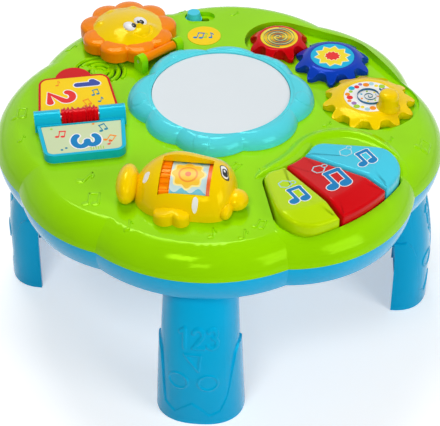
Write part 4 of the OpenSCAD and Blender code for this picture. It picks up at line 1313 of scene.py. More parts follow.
@dataclass
class GearTrain:
    """The three meshing wheels, their round prints and the knob."""

    sheet_z: float = 144.8
    knob_at: Point = (11.8, -11.6)
    big: Point = (103.101, 18.0099)
    middle: Point = (80.5, 66.7)
    small: Point = (43.4995, 90.3628)

    def build(self) -> None:
        """Makes the wheels and prints their faces."""
        for wheel in (
            Gear("gear_big", "big_gear", "yellow", YELLOW, Place(*self.big, 0, -85.3), 12, 17.4),
            Gear("gear_middle", "middle_gear", "dark_blue", GEAR_BLUE, Place(*self.middle, 0, 301.14), 10, 15.4, 6.4),
            Gear("gear_small", "small_gear", "red", RED, Place(*self.small, 0, 337.725), 8, 13.4, 6.4),
        ):
            wheel.build()
        for size, ink in (("big", "white"), ("middle", "cyan"), ("small", "yellow")):
            dress(f"gear_{size}_face", PRINTS[ink])
        self.knob()
        self.print_big()
        self.print_middle()
        self.print_small()

    def knob(self) -> None:
        """Makes the upright knob, a little waisted, with a domed end and a cover over the bore's seat."""
        place = Place(self.big[0] + self.knob_at[0], self.big[1] + self.knob_at[1])
        section = [(8.2, 143.6), (8.2, 144.6), (7.6, 145.7), (7.0, 147.5), (6.8, 150.0), (6.75, 152.5), (6.6, 154.2),
                   (6.1, 155.5), (5.2, 156.3), (3.8, 156.8), (2.0, 157.0)]
        points, faces = stack([circle(r, 72, z) for r, z in section])
        show(mesh_object("gear_knob_moulding", points, faces, place, 50), "big_gear", YELLOW, ["gear_knob"])
        patch = Printed("big_face_patch", Place(*self.big), "big_gear", self.sheet_z, 0.02)
        patch.disc("white", 9.5, 5.5, 6.6)
        patch.build()

    def ribbon(self, name: str, body: str, at: Point, line: np.ndarray, breadth: float, ink: str, lift: float) -> None:
        """Lays a printed spiral on a wheel's face.

        Args:
            name: Name of the piece.
            body: Body of the wheel.
            at: Middle of the wheel.
            line: The spiral.
            breadth: Its width.
            ink: Its print.
            lift: How far it stands over the sheet.
        """
        obj = ribbon_on_path(name, line + np.array([0, 0, self.sheet_z + lift]), breadth, 0.12, PRINTS[ink])
        show(settle(obj, Place(*at)), body, PRINTS[ink])

    def print_big(self) -> None:
        """Blue and teal spirals and a ring of coloured dots."""
        self.ribbon("big_face_spiral", "big_gear", self.big, spiral(1.1, 6.7, 10.8, 0.2), 3.0, "slate", 0.04)
        self.ribbon("big_face_curl", "big_gear", self.big, spiral(1.7, 0.6, 4.9, 2.4), 1.2, "teal", 0.06)
        sheet = Printed("big_face_dots", Place(*self.big), "big_gear", self.sheet_z, 0.08)
        inks = ("red", "orange", "violet", "lime", "yellow", "sky", "orange", "violet", "red", "cyan", "lime", "orange")
        for k in range(24):
            size, far, a = (2.2, 1.4, 1.8)[k % 3], (13.6, 15.0)[k % 2], 2 * math.pi * k / 24 + 0.1
            x, y = far * math.cos(a), far * math.sin(a)
            if math.hypot(x - self.knob_at[0], y - self.knob_at[1]) > 7.4 + size:
                sheet.disc(inks[k % len(inks)], x, y, size, 0.004 * (k % 2))
        for k in range(7):
            a = 2 * math.pi * k / 7
            sheet.disc(("orange", "yellow", "lime", "cyan")[k % 4], 5.9 * math.cos(a), 5.9 * math.sin(a), 0.75, 0.06)
        sheet.build()

    def print_middle(self) -> None:
        """A ten-pointed star with a pale outline and a red middle."""
        sheet = Printed("middle_face_star", Place(*self.middle), "middle_gear", self.sheet_z, 0.06)
        for ink, outer, inner, lift in (
            ("cream", 13.2, 10.0, 0.0), ("yellow", 12.2, 9.1, 0.04), ("cream", 6.2, 4.9, 0.08), ("red", 5.6, 4.4, 0.12),
        ):
            angles = [math.pi * k / 10 + 0.12 for k in range(20)]
            reach = (outer, inner) * 10
            sheet.add(ink, [(r * math.cos(a), r * math.sin(a)) for r, a in zip(reach, angles)], lift)
        sheet.build()

    def print_small(self) -> None:
        """Four spirals, one inside the other."""
        for k, ink in enumerate(("cream", "slate", "orange", "slate")):
            line = spiral(2.5, 0.8, 12.3 - 0.1 * k, k * math.pi / 2)
            self.ribbon(f"small_face_spiral_{k}", "small_gear", self.small, line, 1.15, ink, 0.03 + 0.006 * k)


@dataclass
class Keys:
    """Three piano keys in a fan with rounded edges, a sloping end and printed notes."""

    apex: Point = (20.3, -22.5)
    turn: float = -47.5
    angle: float = 22.0
    inner: float = 44.0
    outer: float = 107.0
    top_z: float = 142.0
    low: float = 4.0
    high: float = 9.5
    gap: float = 0.8
    corner: float = 20.0
    near_corner: float = 9.0
    small_corner: float = 1.2
    nose: float = 15.0
    nose_fall: float = 0.13
    nose_soft: float = 2.0

    def height(self, x: np.ndarray, y: np.ndarray) -> np.ndarray:
        """Height of a key's top: a slope up to the crown, then a rounded fall to the outer end.

        Args:
            x: Plan places on its own axes.
            y: Plan places on its own axes.

        Returns:
            The heights.
        """
        far, crown = np.hypot(x, y), self.outer - self.nose
        share = np.clip((far - self.inner) / (crown - self.inner), 0, 1)
        z = self.top_z + self.low + (self.high - self.low) * share
        over = far - crown
        return z - self.nose_fall * (np.sqrt(over**2 + self.nose_soft**2) + over)

    def outline(self, place: int) -> np.ndarray:
        """Plan of a key, turning left, with rounded corners at the fan's ends.

        Args:
            place: -1, 0 or 1 for the front, middle and rear key.

        Returns:
            Points on the key's own axes.
        """
        half = math.radians(self.angle / 2) - self.gap / 2 / self.inner
        deg = math.degrees(half)
        pts: list[Point] = []
        for edge, big, way, base, steps in (
            (self.outer, self.corner, -1, 0, 60), (self.inner, self.near_corner, 1, 180, 24),
        ):
            arcs, turns = [], []
            for order, side in ((-1, way), (1, -way)):
                radius = big if place == side else self.small_corner
                mid = edge + way * radius
                turn = side * (half - math.asin(radius / mid))
                ends = (base + order * (90 - way * deg), base + math.degrees(turn))
                arcs.append(arc(mid * math.cos(turn), mid * math.sin(turn), radius, *ends[::-order], 18))
                turns.append(turn)
            rim = [(edge * math.cos(a), edge * math.sin(a)) for a in np.linspace(*turns, steps)[1:-1]]
            pts += arcs[0] + rim + arcs[1]
        return resample(np.array(pts), 360)

    def build(self) -> None:
        """Makes the keys and their prints."""
        rows = {
            -1: ("key_front", "front_key", "lime", LIME, 3.0),
            0: ("key_middle", "middle_key", "red", RED, 2.0),
            1: ("key_rear", "rear_key", "cyan", KEY_CYAN, 3.0),
        }
        for place, (node, body, slot, finish, edge) in rows.items():
            axes = Place(*self.apex, 0, self.turn + place * self.angle)
            key = pillow(node + "_moulding", self.outline(place), self.height, 133.2, edge, axes, (76, 0), 40, 50)
            show(key, body, finish, [node])
            block = np.array([(35.7, -3.7), (46.4, -3.7), (46.4, 3.7), (35.7, 3.7)])
            points, faces = flat_ends([raised(block, z) for z in (130.2, 136.4)])
            show(mesh_object(node + "_pivot", points, faces, axes), body, finish)
            self.print_note(node, axes, body, place)
        self.filler("key_well_corner_front", -1)
        self.filler("key_well_corner_rear", 1)
        self.ridge()

    def strip(self, name: str, rows: Sequence[np.ndarray], smooth: float) -> None:
        """Makes a green piece of the table from rows of points that go round it, with flat ends.

        Args:
            name: Name of the piece.
            rows: The rows of points.
            smooth: Angle in degrees over which an edge stays sharp.
        """
        wide = len(rows[0])
        faces = sheet_faces(len(rows), wide, closed=True)
        faces.append(tuple(k * wide for k in range(len(rows))))
        faces.append(tuple(k * wide + wide - 1 for k in reversed(range(len(rows)))))
        show(mesh_object(name, np.vstack(rows), faces, AT_TABLE, smooth, True), "table", GREEN)

    def filler(self, name: str, side: int) -> None:
        """Fills a far corner of the well, where the key's own corner is rounder.

        Args:
            name: Name of the piece.
            side: -1 for the front corner and 1 for the rear one.
        """
        half, far = math.radians(1.5 * self.angle), self.outer + 0.5
        big, small, mid = self.corner + 0.5, 8.0, self.outer - self.corner
        a, b = half - math.asin(big / (mid + 0.5)), half - math.asin(small / (far - small))
        end = 90 + math.degrees(half)
        inner = arc(mid * math.cos(a), mid * math.sin(a), big, math.degrees(a) + 4, end - 4, 30)
        wide = far - small
        outer = arc(wide * math.cos(b), wide * math.sin(b), small + 2.4, math.degrees(b) - 14, end + 14, 30)
        at = plan_axes(*self.apex, 1, self.turn)
        inner, outer = (np.column_stack(at(row[:, 0], side * row[:, 1])) for row in (np.array(inner), np.array(outer)))
        rows = []
        for share in np.linspace(0, 1, 7):
            dip = 1.2 * (1 - math.sqrt(1 - (1 - min(1, share * 5)) ** 2)) + (0.6 if share == 1 else 0)
            rows.append(raised(inner * (1 - share) + outer * share, Shells().surface, 0.05 - dip))
        self.strip(name, [*rows, raised(outer, 130.5), raised(inner, 130.5)], 50)

    def ridge(self) -> None:
        """Raises a soft ridge round the inner and the rear side of the well."""
        path = np.array([
            (23.5, -68.5), (27.5, -63.5), (33.0, -59.5), (42.0, -51.5), (48.5, -43.5), (53.5, -34.5), (60.0, -26.5),
            (68.8, -21.6), (78.5, -19.6), (88.5, -19.6), (101.0, -25.2), (111.5, -35.8), (118.0, -46.0),
        ])
        run = np.linspace(0, len(path) - 1, 160)
        line = np.column_stack([np.interp(run, range(len(path)), path[:, k]) for k in (0, 1)])
        for _ in range(60):
            line[1:-1] = (line[:-2] + 2 * line[1:-1] + line[2:]) / 4
        ahead = np.gradient(line, axis=0)
        ahead /= np.linalg.norm(ahead, axis=1, keepdims=True)
        left = np.column_stack([-ahead[:, 1], ahead[:, 0]])
        taper = np.sqrt(np.clip(np.minimum(run, run[-1] - run) / 2.2, 0.02, 1))
        across = np.linspace(-1, 1, 15)
        lifts = [2.4 * taper * (0.5 + 0.5 * math.cos(math.pi * share)) + 0.02 for share in across]
        rows = []
        for share, lift in zip([*across, 1, -1], [*lifts, -1.0, -1.0]):
            rows.append(raised(line + left * (6.0 * share * taper)[:, None], Shells().surface, lift))
        self.strip("key_well_ridge", rows, 60)

    def print_note(self, node: str, axes: Place, body: str, place: int) -> None:
        """Prints a white-edged blue note and a pale one on a key.

        Args:
            node: The key's node.
            axes: The key's axes.
            body: Its body.
            place: -1, 0 or 1 for the front, middle and rear key.
        """
        x, y, size = {-1: (77.5, 2.0, 12.5), 0: (78.0, 2.0, 15.0), 1: (82.0, 0.5, 11.5)}[place]
        up = 116 - axes.turn
        x, y = plan_axes(x, y, -size, up - 90)(0.4, 0.45)
        for tag, ink, wider, lift in (("edge", "white", 0.6, 0.1), ("line", "sea", 0.0, 0.16)):
            sheet = Draped(f"{node}_{tag}", axes, body, self.height, lift)
            for line, half in note_lines(x, y, size, up, True):
                sheet.stroke(ink, line, half + wider)
            sheet.build()
        pale = Draped(f"{node}_pale", axes, body, self.height, 0.08)
        px, py = {-1: (63.2, -0.4), 0: (62.0, 2.5), 1: (67.8, 2.4)}[place]
        for beyond, radius, corners in ((0, 4.3, 7), (5.4, 1.7, 19)):
            pale.stroke("sky", arc(px, py + beyond, radius, 0, 360, corners), 0.38)
        pale.build()


def resample(outline: np.ndarray, count: int) -> np.ndarray:
    """Spreads points evenly along a closed outline.

    Args:
        outline: Corners of the outline.
        count: Points wanted.

    Returns:
        The new points.
    """
    closed = np.vstack([outline, outline[:1]])
    run = np.concatenate([[0], np.cumsum(np.linalg.norm(np.diff(closed, axis=0), axis=1))])
    want = np.linspace(0, run[-1], count, endpoint=False)
    return np.column_stack([np.interp(want, run, closed[:, 0]), np.interp(want, run, closed[:, 1])])


@dataclass
class Fish:
    """The fish with its window, the picture roller and its grip."""

    place: Place = field(default_factory=lambda: Place(-18, -86, 142.0, -7))
    roller_r: float = 22.2
    print_r: float = 21.9
    picture_turn: float = 2.565
    picture_step: float = 1.5708
    skin_r: float = 24.9
    arch_high: float = 3.8
    mid: float = -1.0
    rear: float = 35.0
    front: float = 31.5

    def reach(self, turn: np.ndarray, x: np.ndarray) -> np.ndarray:
        """Reach of the skin from the roller's axis: wider at the front's foot, with an arch at the rear.

        Args:
            turn: Angle in radians from the rear, over the top, to the front.
            x: Place along the axis.

        Returns:
            The reach.
        """
        foot = np.clip((np.degrees(turn) - 148) / 32, 0, 1)
        arch = np.exp(-(((np.degrees(turn) - 68) / 27) ** 2)) * np.exp(-(((x + 8) / 18) ** 2))
        end = np.where(x < self.mid, self.rear, self.front)
        power = np.where(x < self.mid, 3.0, 5.0)
        narrow = np.sqrt(np.maximum(1 - (np.abs(x - self.mid) / end) ** power, 0.004))
        return narrow * (self.skin_r + 0.4 * foot * foot * (3 - 2 * foot) + self.arch_high * arch)

    def back(self, x: np.ndarray, y: np.ndarray) -> np.ndarray:
        """Height of the skin over the fish's plan.

        Args:
            x: Plan places on its own axes.
            y: Plan places on its own axes.

        Returns:
            The heights.
        """
        z = np.full(np.shape(x), 18.0)
        for _ in range(12):
            r = self.reach(np.arctan2(z, y), x)
            z = 0.5 * z + 0.5 * np.sqrt(np.maximum(r**2 - y**2, 1.0))
        return z

    def skin(self) -> None:
        """Makes the body with its window and the room of the roller."""
        turn = np.linspace(0, math.pi, 61)
        layers = []
        for t in np.linspace(-math.pi / 2, math.pi / 2, 61)[1:-1]:
            x = self.mid + (self.rear if t < 0 else self.front) * math.sin(t)
            rim = polar(self.reach(turn, np.full(len(turn), x)), turn, x)[:, [2, 0, 1]]
            layers.append(np.vstack([rim, [(x, rim[-1, 1], -3.4), (x, rim[0, 1], -3.4)]]))
        body = mesh_object("fish_skin", *stack(layers), self.place, 40, True)
        room = turned("fish_room", [(-18.4, 22.75), (18.4, 22.75)], self.place, 96, True)
        plan = np.array([(-18.1, -18.6), (14.4, -18.6), (14.9, 6.6), (-17.2, 6.6)])
        hole = mesh_object("fish_hole", *flat_ends([raised(plan, z) for z in (6.0, 40.0)]), self.place, 35, True)
        for tool in (room, hole):
            cut = body.modifiers.new("cut", "BOOLEAN")
            cut.operation = "DIFFERENCE"
            cut.solver = "EXACT"
            cut.object = tool
        baked(body)
        for tool in (room, hole):
            bpy.data.objects.remove(tool, do_unlink=True)
        soften(body, 38)
        show(body, "table", YELLOW, ["fish_body"])

    def lobes(self) -> None:
        """Adds the tail, the lips and the fins."""
        for name, middle, size in (
            ("fish_tail", (-39.6, -2.6, 8.0), (7.4, 16.0, 11.0)),
            ("fish_upper_lip", (30.5, -8.0, 6.4), (7.6, 8.6, 6.0)),
            ("fish_gill", (24.5, -15.0, 4.0), (4.6, 9.0, 5.4)),
        ):
            show(oval(name, middle, size, self.place, 48), "table", YELLOW)
        foot = np.array((-8.0, -25.2))
        outline = lobed_outline(np.array([(-4.8, 0.6, 7.4), (5.6, -1.2, 5.6), (0.5, 2.0, 6.5)]), 240) + foot
        fin = pillow("fish_fins", outline, lambda x, y: 8.6 - 0.02 * (x + 8) ** 2, -1.5, 2.4, self.place, foot, 12)
        show(fin, "table", YELLOW, ["fish_eyes"])

    def build(self) -> None:
        """Makes the skin with its tail, lips and fins, the roller, and the printed eye with a painted highlight on its
        pupil.
        """
        self.skin()
        self.lobes()
        smooth_node("roller_drum", "roller", ORANGE)
        self.band()
        self.grip()
        self.marks()

    def band(self) -> None:
        """Dresses the picture band: rosettes over waves and an orange edge, drawn by nodes round the roller."""
        obj = smooth_node("roller_band", "roller", PRINTS["sky"], 40)
        mat, tree = new_material("print_waves_and_rosettes")

        def calc(kind: str, *values: object) -> bpy.types.NodeSocket:
            """One sum of a node, from sockets and numbers."""
            return flow(tree, "ShaderNodeMath", dict(enumerate(values)), operation=kind)

        spin = flow(tree, "ShaderNodeMapping", {
            "Vector": add_node(tree, "ShaderNodeTexCoord").outputs["Object"],
            "Location": (self.place.x * MM, self.place.y * MM, self.place.z * MM),
            "Rotation": (0, 0, math.radians(self.place.turn)),
            "Scale": (MM, MM, MM),
        }, vector_type="TEXTURE")
        axes = add_node(tree, "ShaderNodeSeparateXYZ", {0: spin}).outputs
        along = calc("ADD", axes["X"], 0.5)
        angle = calc("ADD", calc("ARCTAN2", axes["Y"], axes["Z"]), self.picture_turn + 2 * math.pi)
        off = calc("SUBTRACT", calc("MODULO", angle, self.picture_step), self.picture_step / 2)
        across = calc("MULTIPLY", calc("ABSOLUTE", off), self.print_r)
        far = calc("SQRT", calc("ADD", calc("MULTIPLY", along, along), calc("MULTIPLY", across, across)))
        lobes = calc("COSINE", calc("MULTIPLY", calc("ARCTAN2", across, along), 8.0))
        petals = calc("ADD", calc("MULTIPLY", lobes, 0.9), 9.4)
        swell = calc("MULTIPLY", along, 0.62)
        wave = calc("ADD", calc("MULTIPLY", calc("SINE", swell), 1.5), 11.6)
        deep = calc("ADD", calc("MULTIPLY", calc("SINE", calc("ADD", swell, 1.6)), 0.8), 14.4)
        ink: object = linear((196, 224, 226))
        for colour, mask in (
            ((96, 190, 216), calc("GREATER_THAN", across, wave)),
            ((40, 150, 200), calc("GREATER_THAN", across, deep)),
            ((255, 236, 150), calc("LESS_THAN", far, calc("ADD", petals, 1.3))),
            ((252, 200, 40), calc("LESS_THAN", far, petals)),
            ((244, 150, 30), calc("LESS_THAN", calc("ABSOLUTE", calc("SUBTRACT", far, 5.6)), 0.6)),
            ((250, 120, 60), calc("LESS_THAN", far, 1.9)),
            ((250, 110, 20), calc("GREATER_THAN", along, 12.4)),
        ):
            mix = add_node(tree, "ShaderNodeMix", data_type="RGBA")
            feed(tree, mix, {0: mask, 6: ink, 7: linear(colour)})
            ink = mix.outputs[2]
        feed(tree, tree.nodes["Principled BSDF"], {"Roughness": 0.35, "Specular IOR Level": 0.35, "Base Color": ink})
        obj.data.materials.clear()
        obj.data.materials.append(mat)

    def grip(self) -> None:
        """Makes the ribbed grip ring, rib by rib with a node tree, and the plain ring."""
        steps, ribs = 9, 36
        half = math.pi / ribs
        turn = np.linspace(-half, half, steps)
        wave = np.clip((np.abs(turn) / half - 0.55) / 0.12, 0, 1)
        crest = self.roller_r - 0.05 - 1.5 * wave
        rows = [(crest + drop, x) for drop, x in ((-0.4, 0.0), (0.0, 0.3), (0.0, 5.7), (-0.4, 6.0))]
        rows += [(19.0, 6.0), (19.0, 0.0)]
        points = np.vstack([polar(r, turn, x) for r, x in rows])
        obj = raw_object("roller_grip_ribs", points, sheet_faces(len(rows), steps, closed=True))
        copies_round_axis(obj, ribs, ORANGE, 0.01)
        obj.data.transform(Matrix.Translation((-35.7 / 2, 0, 0)) @ Matrix.Rotation(math.pi / 2, 4, "Y"))
        show(settle(obj, self.place), "roller", ORANGE, ["roller_grip"])
        ring = [(15.95, 19.6), (15.95, 22.0), (16.2, 22.25), (17.6, 22.25), (17.85, 22.0), (17.85, 19.6)]
        show(turned("roller_ring", ring, self.place, 120), "roller", ORANGE)

    def marks(self) -> None:
        """Adds the printed eye with a painted highlight on its pupil, and two pale ovals, each sheet a little over the
        one before.
        """
        sheets = [Draped(f"fish_marks_{k}", self.place, "table", self.back, 0.12 + 0.08 * k) for k in range(4)]
        for layer, ink, line, half in (
            (3, "white", [(5.9, -22.6), (6.1, -21.4)], 1.8),
            (3, "white", [(-27.0, -8.4), (-26.4, -5.6)], 1.8),
            (0, "black", [(21.2, 2.2), (22.0, -1.0), (22.8, -4.0)], 2.6),
            (1, "white", [(21.2, 1.9), (21.9, -1.0), (22.6, -3.6)], 2.0),
            (2, "black", [(22.1, 0.0), (22.7, -2.9)], 1.6),
            # the small white stroke on the black pupil is a painted highlight, not print
            (3, "white", [(21.8, -0.2), (22.0, -0.8)], 0.6),
        ):
            sheets[layer].stroke(ink, line, half)
        for sheet in sheets:
            sheet.build()


def oval(name: str, middle: Sequence[float], size: Sequence[float], place: Place, count: int) -> bpy.types.Object:
    """A smooth ball with three half widths.

    Args:
        name: Name of the piece.
        middle: Its middle on the place's axes.
        size: Its half widths along the place's axes.
        place: Where the axes lie.
        count: Points round it.

    Returns:
        The piece.
    """
    layers = []
    for k in range(1, 15):
        a = math.pi * k / 15
        layers.append(circle(math.sin(a), count, -math.cos(a)))
    points, faces = stack(layers)
    points[-2:] = (0, 0, -1), (0, 0, 1)
    return mesh_object(name, points * np.array(size) + np.array(middle), faces, place, 80, True)


def turned(name: str, section: Sequence[Point], place: Place, count: int, solid: bool = False) -> bpy.types.Object:
    """A shape turned about the place's X axis.

    Args:
        name: Name of the piece.
        section: Corners of its section, each a place along the axis and a radius.
        place: Where the axes lie.
        count: Points round it.
        solid: Whether the ends are filled, or else the last corner meets the first.

    Returns:
        The piece.
    """
    layers = [circle(r, count, x)[:, [2, 0, 1]] for x, r in section]
    points, faces = stack(layers, close_ends=solid)
    if not solid:
        faces += loop_faces((len(layers) - 1) * count, 0, count)
    return mesh_object(name, points, faces, place, 40, True)


@dataclass
class Book:
    """The cyan tray with its card and the red page with its card."""

    place: Place = field(default_factory=lambda: Place(-93, -9, 0, 9.3))
    stretch_from: float = 8.0
    stretch: float = 1.17

    def build(self) -> None:
        """Dresses the leaves and prints their cards."""
        smooth_node("book_tray", "table", BOOK_CYAN, 28)
        self.longer(smooth_node("book_page", "page", RED, 28))
        self.longer(smooth_node("page_card", "page", CARD_YELLOW, 28))
        dress("tray_card", CARD_GREEN)
        self.print_page()
        self.print_tray()
        self.ribs()

    def longer(self, obj: bpy.types.Object) -> None:
        """Draws the page out beyond its knuckle.

        Args:
            obj: The page or its card.
        """
        there = Place(self.place.x, self.place.y, 0, self.place.turn).matrix()
        back = there.inverted()
        for vertex in obj.data.vertices:
            local = back @ vertex.co
            if local.y > self.stretch_from:
                local.y = self.stretch_from + (local.y - self.stretch_from) * self.stretch
            vertex.co = there @ local

    def ribs(self) -> None:
        """Adds an upper row of short ribs to the page's knuckle."""
        for k, x in enumerate((-9.9, -7.3, -4.7, 4.7, 7.3, 9.9)):
            section = [(x - 0.5, 4.6), (x - 0.5, 6.6), (x - 0.3, 6.8), (x + 0.3, 6.8), (x + 0.5, 6.6), (x + 0.5, 4.6)]
            place = Place(self.place.x, self.place.y, 148.0, self.place.turn)
            show(turned(f"knuckle_rib_{k}", section, place, 64), "page", RED)

    def print_page(self) -> None:
        """Prints 1 and 2 with white edges and small notes."""
        sheet = Printed("page_print", self.place, "page", frame_top("page_card"), 0.06)
        for ink1, ink2, half, lift in (("white", "white", 3.2, 0.0), ("blue", "red", 2.4, 0.05)):
            sheet.digit(ink1, 1, 1.6, 43.6, 14.0, half, lift)
            sheet.digit(ink2, 2, -18.8, 32.6, 16.8, half, lift, 1.2)
        sheet.note("teal", 11.5, 25.5, 5.5, 100, True)
        sheet.note("teal", 15.0, 17.5, 5, 80)
        sheet.note("orange", -12, 40.5, 5, 90)
        sheet.note("orange", 5, 14, 6, 110, True)
        sheet.build()

    def print_tray(self) -> None:
        """Prints 3 with a white edge, notes, dots and a comb of lines."""
        sheet = Printed("tray_print", self.place, "table", frame_top("tray_card"), 0.06)
        for ink, half, lift in (("white", 3.1, 0.0), ("sea", 2.2, 0.05)):
            sheet.digit(ink, 3, -6.8, -20.0, 17.0, half, lift, 1.4)
        sheet.note("red", -17, -20, 6, 80, True)
        sheet.note("teal", 12.5, -18, 6.0, 110, True)
        sheet.note("orange", 14.0, -28, 6, 60, True)
        sheet.note("red", 16, -33, 4.5, 90)
        for k in range(6):
            sheet.stroke("lime", [(4 + 1.6 * k, -37.0), (4 + 1.6 * k, -34.2 - 0.4 * (k % 2))], 0.3)
        for x, y, ink in ((-12, -33, "teal"), (-15, -34.5, "teal"), (8, -9.5, "orange"), (-20, -11, "lime")):
            sheet.disc(ink, x, y, 0.9)
        sheet.build()


def frame_top(node: str) -> float:
    """Height in millimetres of a CAD node's upper face."""
    return float(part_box(node)[1][2]) / MM


@dataclass
class Lion:
    """The lion lid: scalloped mane, domed face with nose, cheeks and smile, eyes and pupils."""

    place: Place = field(default_factory=lambda: Place(-64.762, 90.7257, 0, 41.0))
    mane_top: float = 153.1
    face_r: float = 27.0
    face_h: float = 7.6
    puff_lobes: int = 9
    puff_reach: float = 34.8
    puff_mid: float = 23.0
    puff_low: float = -1.6
    puff_high: float = 3.4
    humps: tuple = (
        (0, -17.5, 11, 8.5, 2.6), (0, -12.5, 3.2, 2.4, 2.2), (-8.5, -17, 5, 4.5, 1.1), (8.5, -17, 5, 4.5, 1.1),
        (-16, 14, 4.2, 4.2, 1.6), (16, 14, 4.2, 4.2, 1.6), (0, 21, 5, 3.2, 1.3),
    )

    def build(self) -> None:
        """Makes the lid's pieces."""
        smooth_node("lion_mane", "lion_lid", ORANGE, 30)
        self.eyes()
        dress("lion_mirror", MIRROR)
        self.face()
        self.puff()

    def eyes(self) -> None:
        """Makes the bulging oval eyes with pupils and glints."""
        for side in (-1, 1):
            tag = "left" if side < 0 else "right"
            z = float(self.height(np.array([side * 4.4]), np.array([-7.0]))[0])
            for name, slot, finish, middle, size in (
                ("eye", "white", WHITE, (side * 4.7, -8.2, z - 0.3), (4.3, 5.5, 2.6)),
                ("pupil", "black", BLACK, (side * 3.5, -10.0, z + 1.1), (2.5, 3.1, 1.2)),
                ("glint", "white", WHITE, (side * 3.5 - 0.6, -9.2, z + 2.1), (0.7, 0.75, 0.5)),
            ):
                piece = oval(f"lion_{name}_{tag}", middle, size, self.place, 32)
                hidden = {"eye": ["lion_eyes"], "pupil": ["lion_pupils"]}.get(name, [])
                show(piece, "lion_lid", finish, hidden if side < 0 else [])

    def puff(self) -> None:
        """Adds the mane's thick upper layer of lobes round the face."""
        turns = [10 + 360 * i / self.puff_lobes for i in range(self.puff_lobes)]
        discs = lobe_discs([(turn, 0, self.puff_mid) for turn in turns], self.puff_reach)
        outline = lobed_outline(discs, 720)

        def top(x: np.ndarray, y: np.ndarray) -> np.ndarray:
            """Each lobe swells a little round its middle."""
            deep = np.clip(depth_inside(discs, x, y), 0, 7) / 7
            return self.mane_top + self.puff_low + self.puff_high * np.sqrt(1 - (1 - deep) ** 2)

        obj = pillow("lion_mane_puff", outline, top, self.mane_top - 8.0, 2.6, self.place, (0, 0), 40, 60)
        show(obj, "lion_lid", ORANGE)

    def height(self, x: np.ndarray, y: np.ndarray) -> np.ndarray:
        """Height of the face: a dome with a muzzle, a nose, cheeks, ears and a groove for the smile.

        Args:
            x: Plan places on its own axes.
            y: Plan places on its own axes.

        Returns:
            The heights.
        """
        curve = (self.face_r**2 + self.face_h**2) / (2 * self.face_h)
        far = np.hypot(x, y)
        z = self.mane_top + self.face_h - curve + np.sqrt(np.maximum(curve**2 - far**2, 0))

        for mx, my, rx, ry, high in self.humps:
            z = z + high * np.exp(-1.6 * (((x - mx) / rx) ** 2 + ((y - my) / ry) ** 2))
        smile = stroke_distance(x, y, arc(0, -14.0, 7.6, 205, 335, 24))
        return z - 0.9 * ramp(0.7 - smile, 0.7)

    def face(self) -> None:
        """Makes the domed face."""
        discs = np.array([(0.0, 0.0, self.face_r), (0.0, -17.5, 10.4)])
        outline = lobed_outline(discs, 540)
        obj = pillow("lion_face_moulding", outline, self.height, self.mane_top - 1.5, 1.2, self.place, (0, 0), 90, 60)
        show(obj, "lion_lid", YELLOW, ["lion_face"])


@dataclass
class SwitchAndLabel:
    """The sliding knob with its plate, and the round label."""

    label: Point = (-10.5, 96.5)
    low_from: float = 0.1435

    def build(self) -> None:
        """Dresses the knob, lowers it to half its height and prints notes on the label."""
        knob = smooth_node("switch_knob", "switch", KEY_CYAN, 35)
        for vertex in knob.data.vertices:
            if vertex.co.z > self.low_from:
                vertex.co.z = (vertex.co.z + self.low_from) / 2
        smooth_node("label_disc", "table", CARD_YELLOW, 35)
        sheet = Printed("label_print", Place(*self.label), "table", frame_top("label_disc"), 0.05)
        sheet.note("sea", -6.5, -2.5, 6.5, 78, True)
        sheet.note("lime", 0.6, -2.2, 5.5, 95)
        sheet.note("sea", 4.6, -2.4, 6, 100)
        sheet.build()


@dataclass(frozen=True)
class Lamp:
    """A square lamp that looks at a point."""

    name: str
    place: tuple[float, float, float]
    size: float
    watts: float
    aim: tuple[float, float, float] = (0.0, 0.0, 0.1)

    def build(self) -> None:
        """Adds the lamp to the scene."""
        data = bpy.data.lights.new(self.name, "AREA")
        data.shape = "SQUARE"
        data.size = self.size
        data.energy = self.watts
        lamp = bpy.data.objects.new(self.name, data)
        lamp.location = self.place
        lamp.rotation_euler = (Vector(self.aim) - Vector(self.place)).to_track_quat("-Z", "Y").to_euler()
        bpy.context.scene.collection.objects.link(lamp)


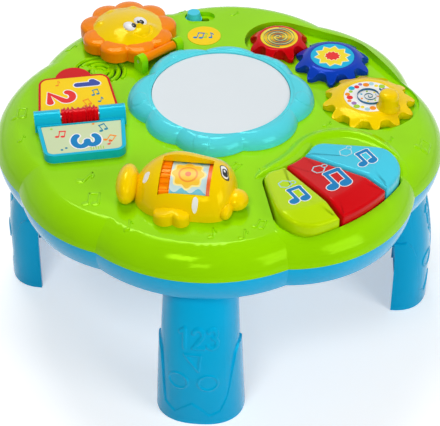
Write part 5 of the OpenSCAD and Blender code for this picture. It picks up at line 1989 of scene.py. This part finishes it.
@dataclass
class Studio:
    """Floor, lamps, backdrop and camera."""

    half: float = 6.0
    floor_glow: float = 0.42
    sky_light: float = 0.12
    lens: float = 129.7
    shift: float = 0.003
    eye: tuple[float, float, float] = (0, -0.8645, 0.7799)
    tilt: float = 50.05
    lamps: tuple[Lamp, ...] = (
        Lamp("key_lamp", (-0.35, -0.85, 1.25), 0.35, 4.6, (0.0, -0.05, 0.1)),
        Lamp("fill_lamp", (0.85, -0.75, 0.65), 0.6, 5.6),
        Lamp("back_lamp", (-0.15, 0.55, 1.35), 0.6, 9.6),
        Lamp("front_lamp", (-0.15, -1.35, 0.95), 0.3, 2.0),
    )

    def build(self) -> None:
        """Makes the stage."""
        scene = bpy.context.scene
        corners = [(x * self.half, y * self.half, 0) for x, y in ((-1, -1), (1, -1), (1, 1), (-1, 1))]
        floor = raw_object("floor", corners, [(0, 1, 2, 3)])
        floor.data.materials.append(self.floor_material())
        for lamp in self.lamps:
            lamp.build()
        world = bpy.data.worlds.new("soft_white")
        world.use_nodes = True
        tree = world.node_tree
        feed(tree, tree.nodes["Background"], {"Color": (1, 1, 1, 1), "Strength": self.seen(tree, 1.0, self.sky_light)})
        scene.world = world
        camera = bpy.data.cameras.new("camera")
        camera.lens = self.lens
        camera.sensor_width = 36
        camera.sensor_fit = "HORIZONTAL"
        camera.shift_x = self.shift
        view = bpy.data.objects.new("camera", camera)
        view.location = self.eye
        view.rotation_euler = (math.radians(self.tilt), 0, 0)
        scene.collection.objects.link(view)
        scene.camera = view
        scene.view_settings.view_transform = "Standard"

    def floor_material(self) -> bpy.types.Material:
        """A pale floor that keeps the shadow and shows white to the camera.

        Returns:
            The material.
        """
        mat, tree = new_material("pale_floor")
        tree.nodes.clear()
        matte = flow(tree, "ShaderNodeBsdfDiffuse", {"Color": (0.92, 0.91, 0.9, 1)})
        glow = {"Color": (1, 1, 1, 1), "Strength": self.seen(tree, self.floor_glow)}
        both = flow(tree, "ShaderNodeAddShader", {0: matte, 1: flow(tree, "ShaderNodeEmission", glow)})
        add_node(tree, "ShaderNodeOutputMaterial", {0: both})
        return mat

    def seen(self, tree: bpy.types.NodeTree, strength: float, rest: float = 0.0) -> bpy.types.NodeSocket:
        """A strength for camera, glossy and transmission rays, and another for the rest.

        Args:
            tree: Node tree that gets the nodes.
            strength: Strength for those rays.
            rest: Strength for other rays.

        Returns:
            The socket with the strength.
        """
        path = add_node(tree, "ShaderNodeLightPath").outputs
        ray = path["Is Camera Ray"]
        for other in ("Is Glossy Ray", "Is Transmission Ray"):
            ray = flow(tree, "ShaderNodeMath", {0: ray, 1: path[other]}, operation="MAXIMUM")
        return flow(tree, "ShaderNodeMapRange", {"Value": ray, "To Min": rest, "To Max": strength})


def main() -> None:
    """Builds the stage and every sub-assembly in order."""
    logging.basicConfig(level=logging.INFO, format="%(name)s: %(message)s")
    legs = [Leg(f"leg_{side}", turn) for side, turn in LEG_TURNS.items()]
    for part in (Studio(), Shells(), *legs, Drum(), GearTrain(), Keys(), Fish(), Book(), Lion(), SwitchAndLabel()):
        log.info("building %s", type(part).__name__)
        part.build()


if __name__ == "__main__":
    main()
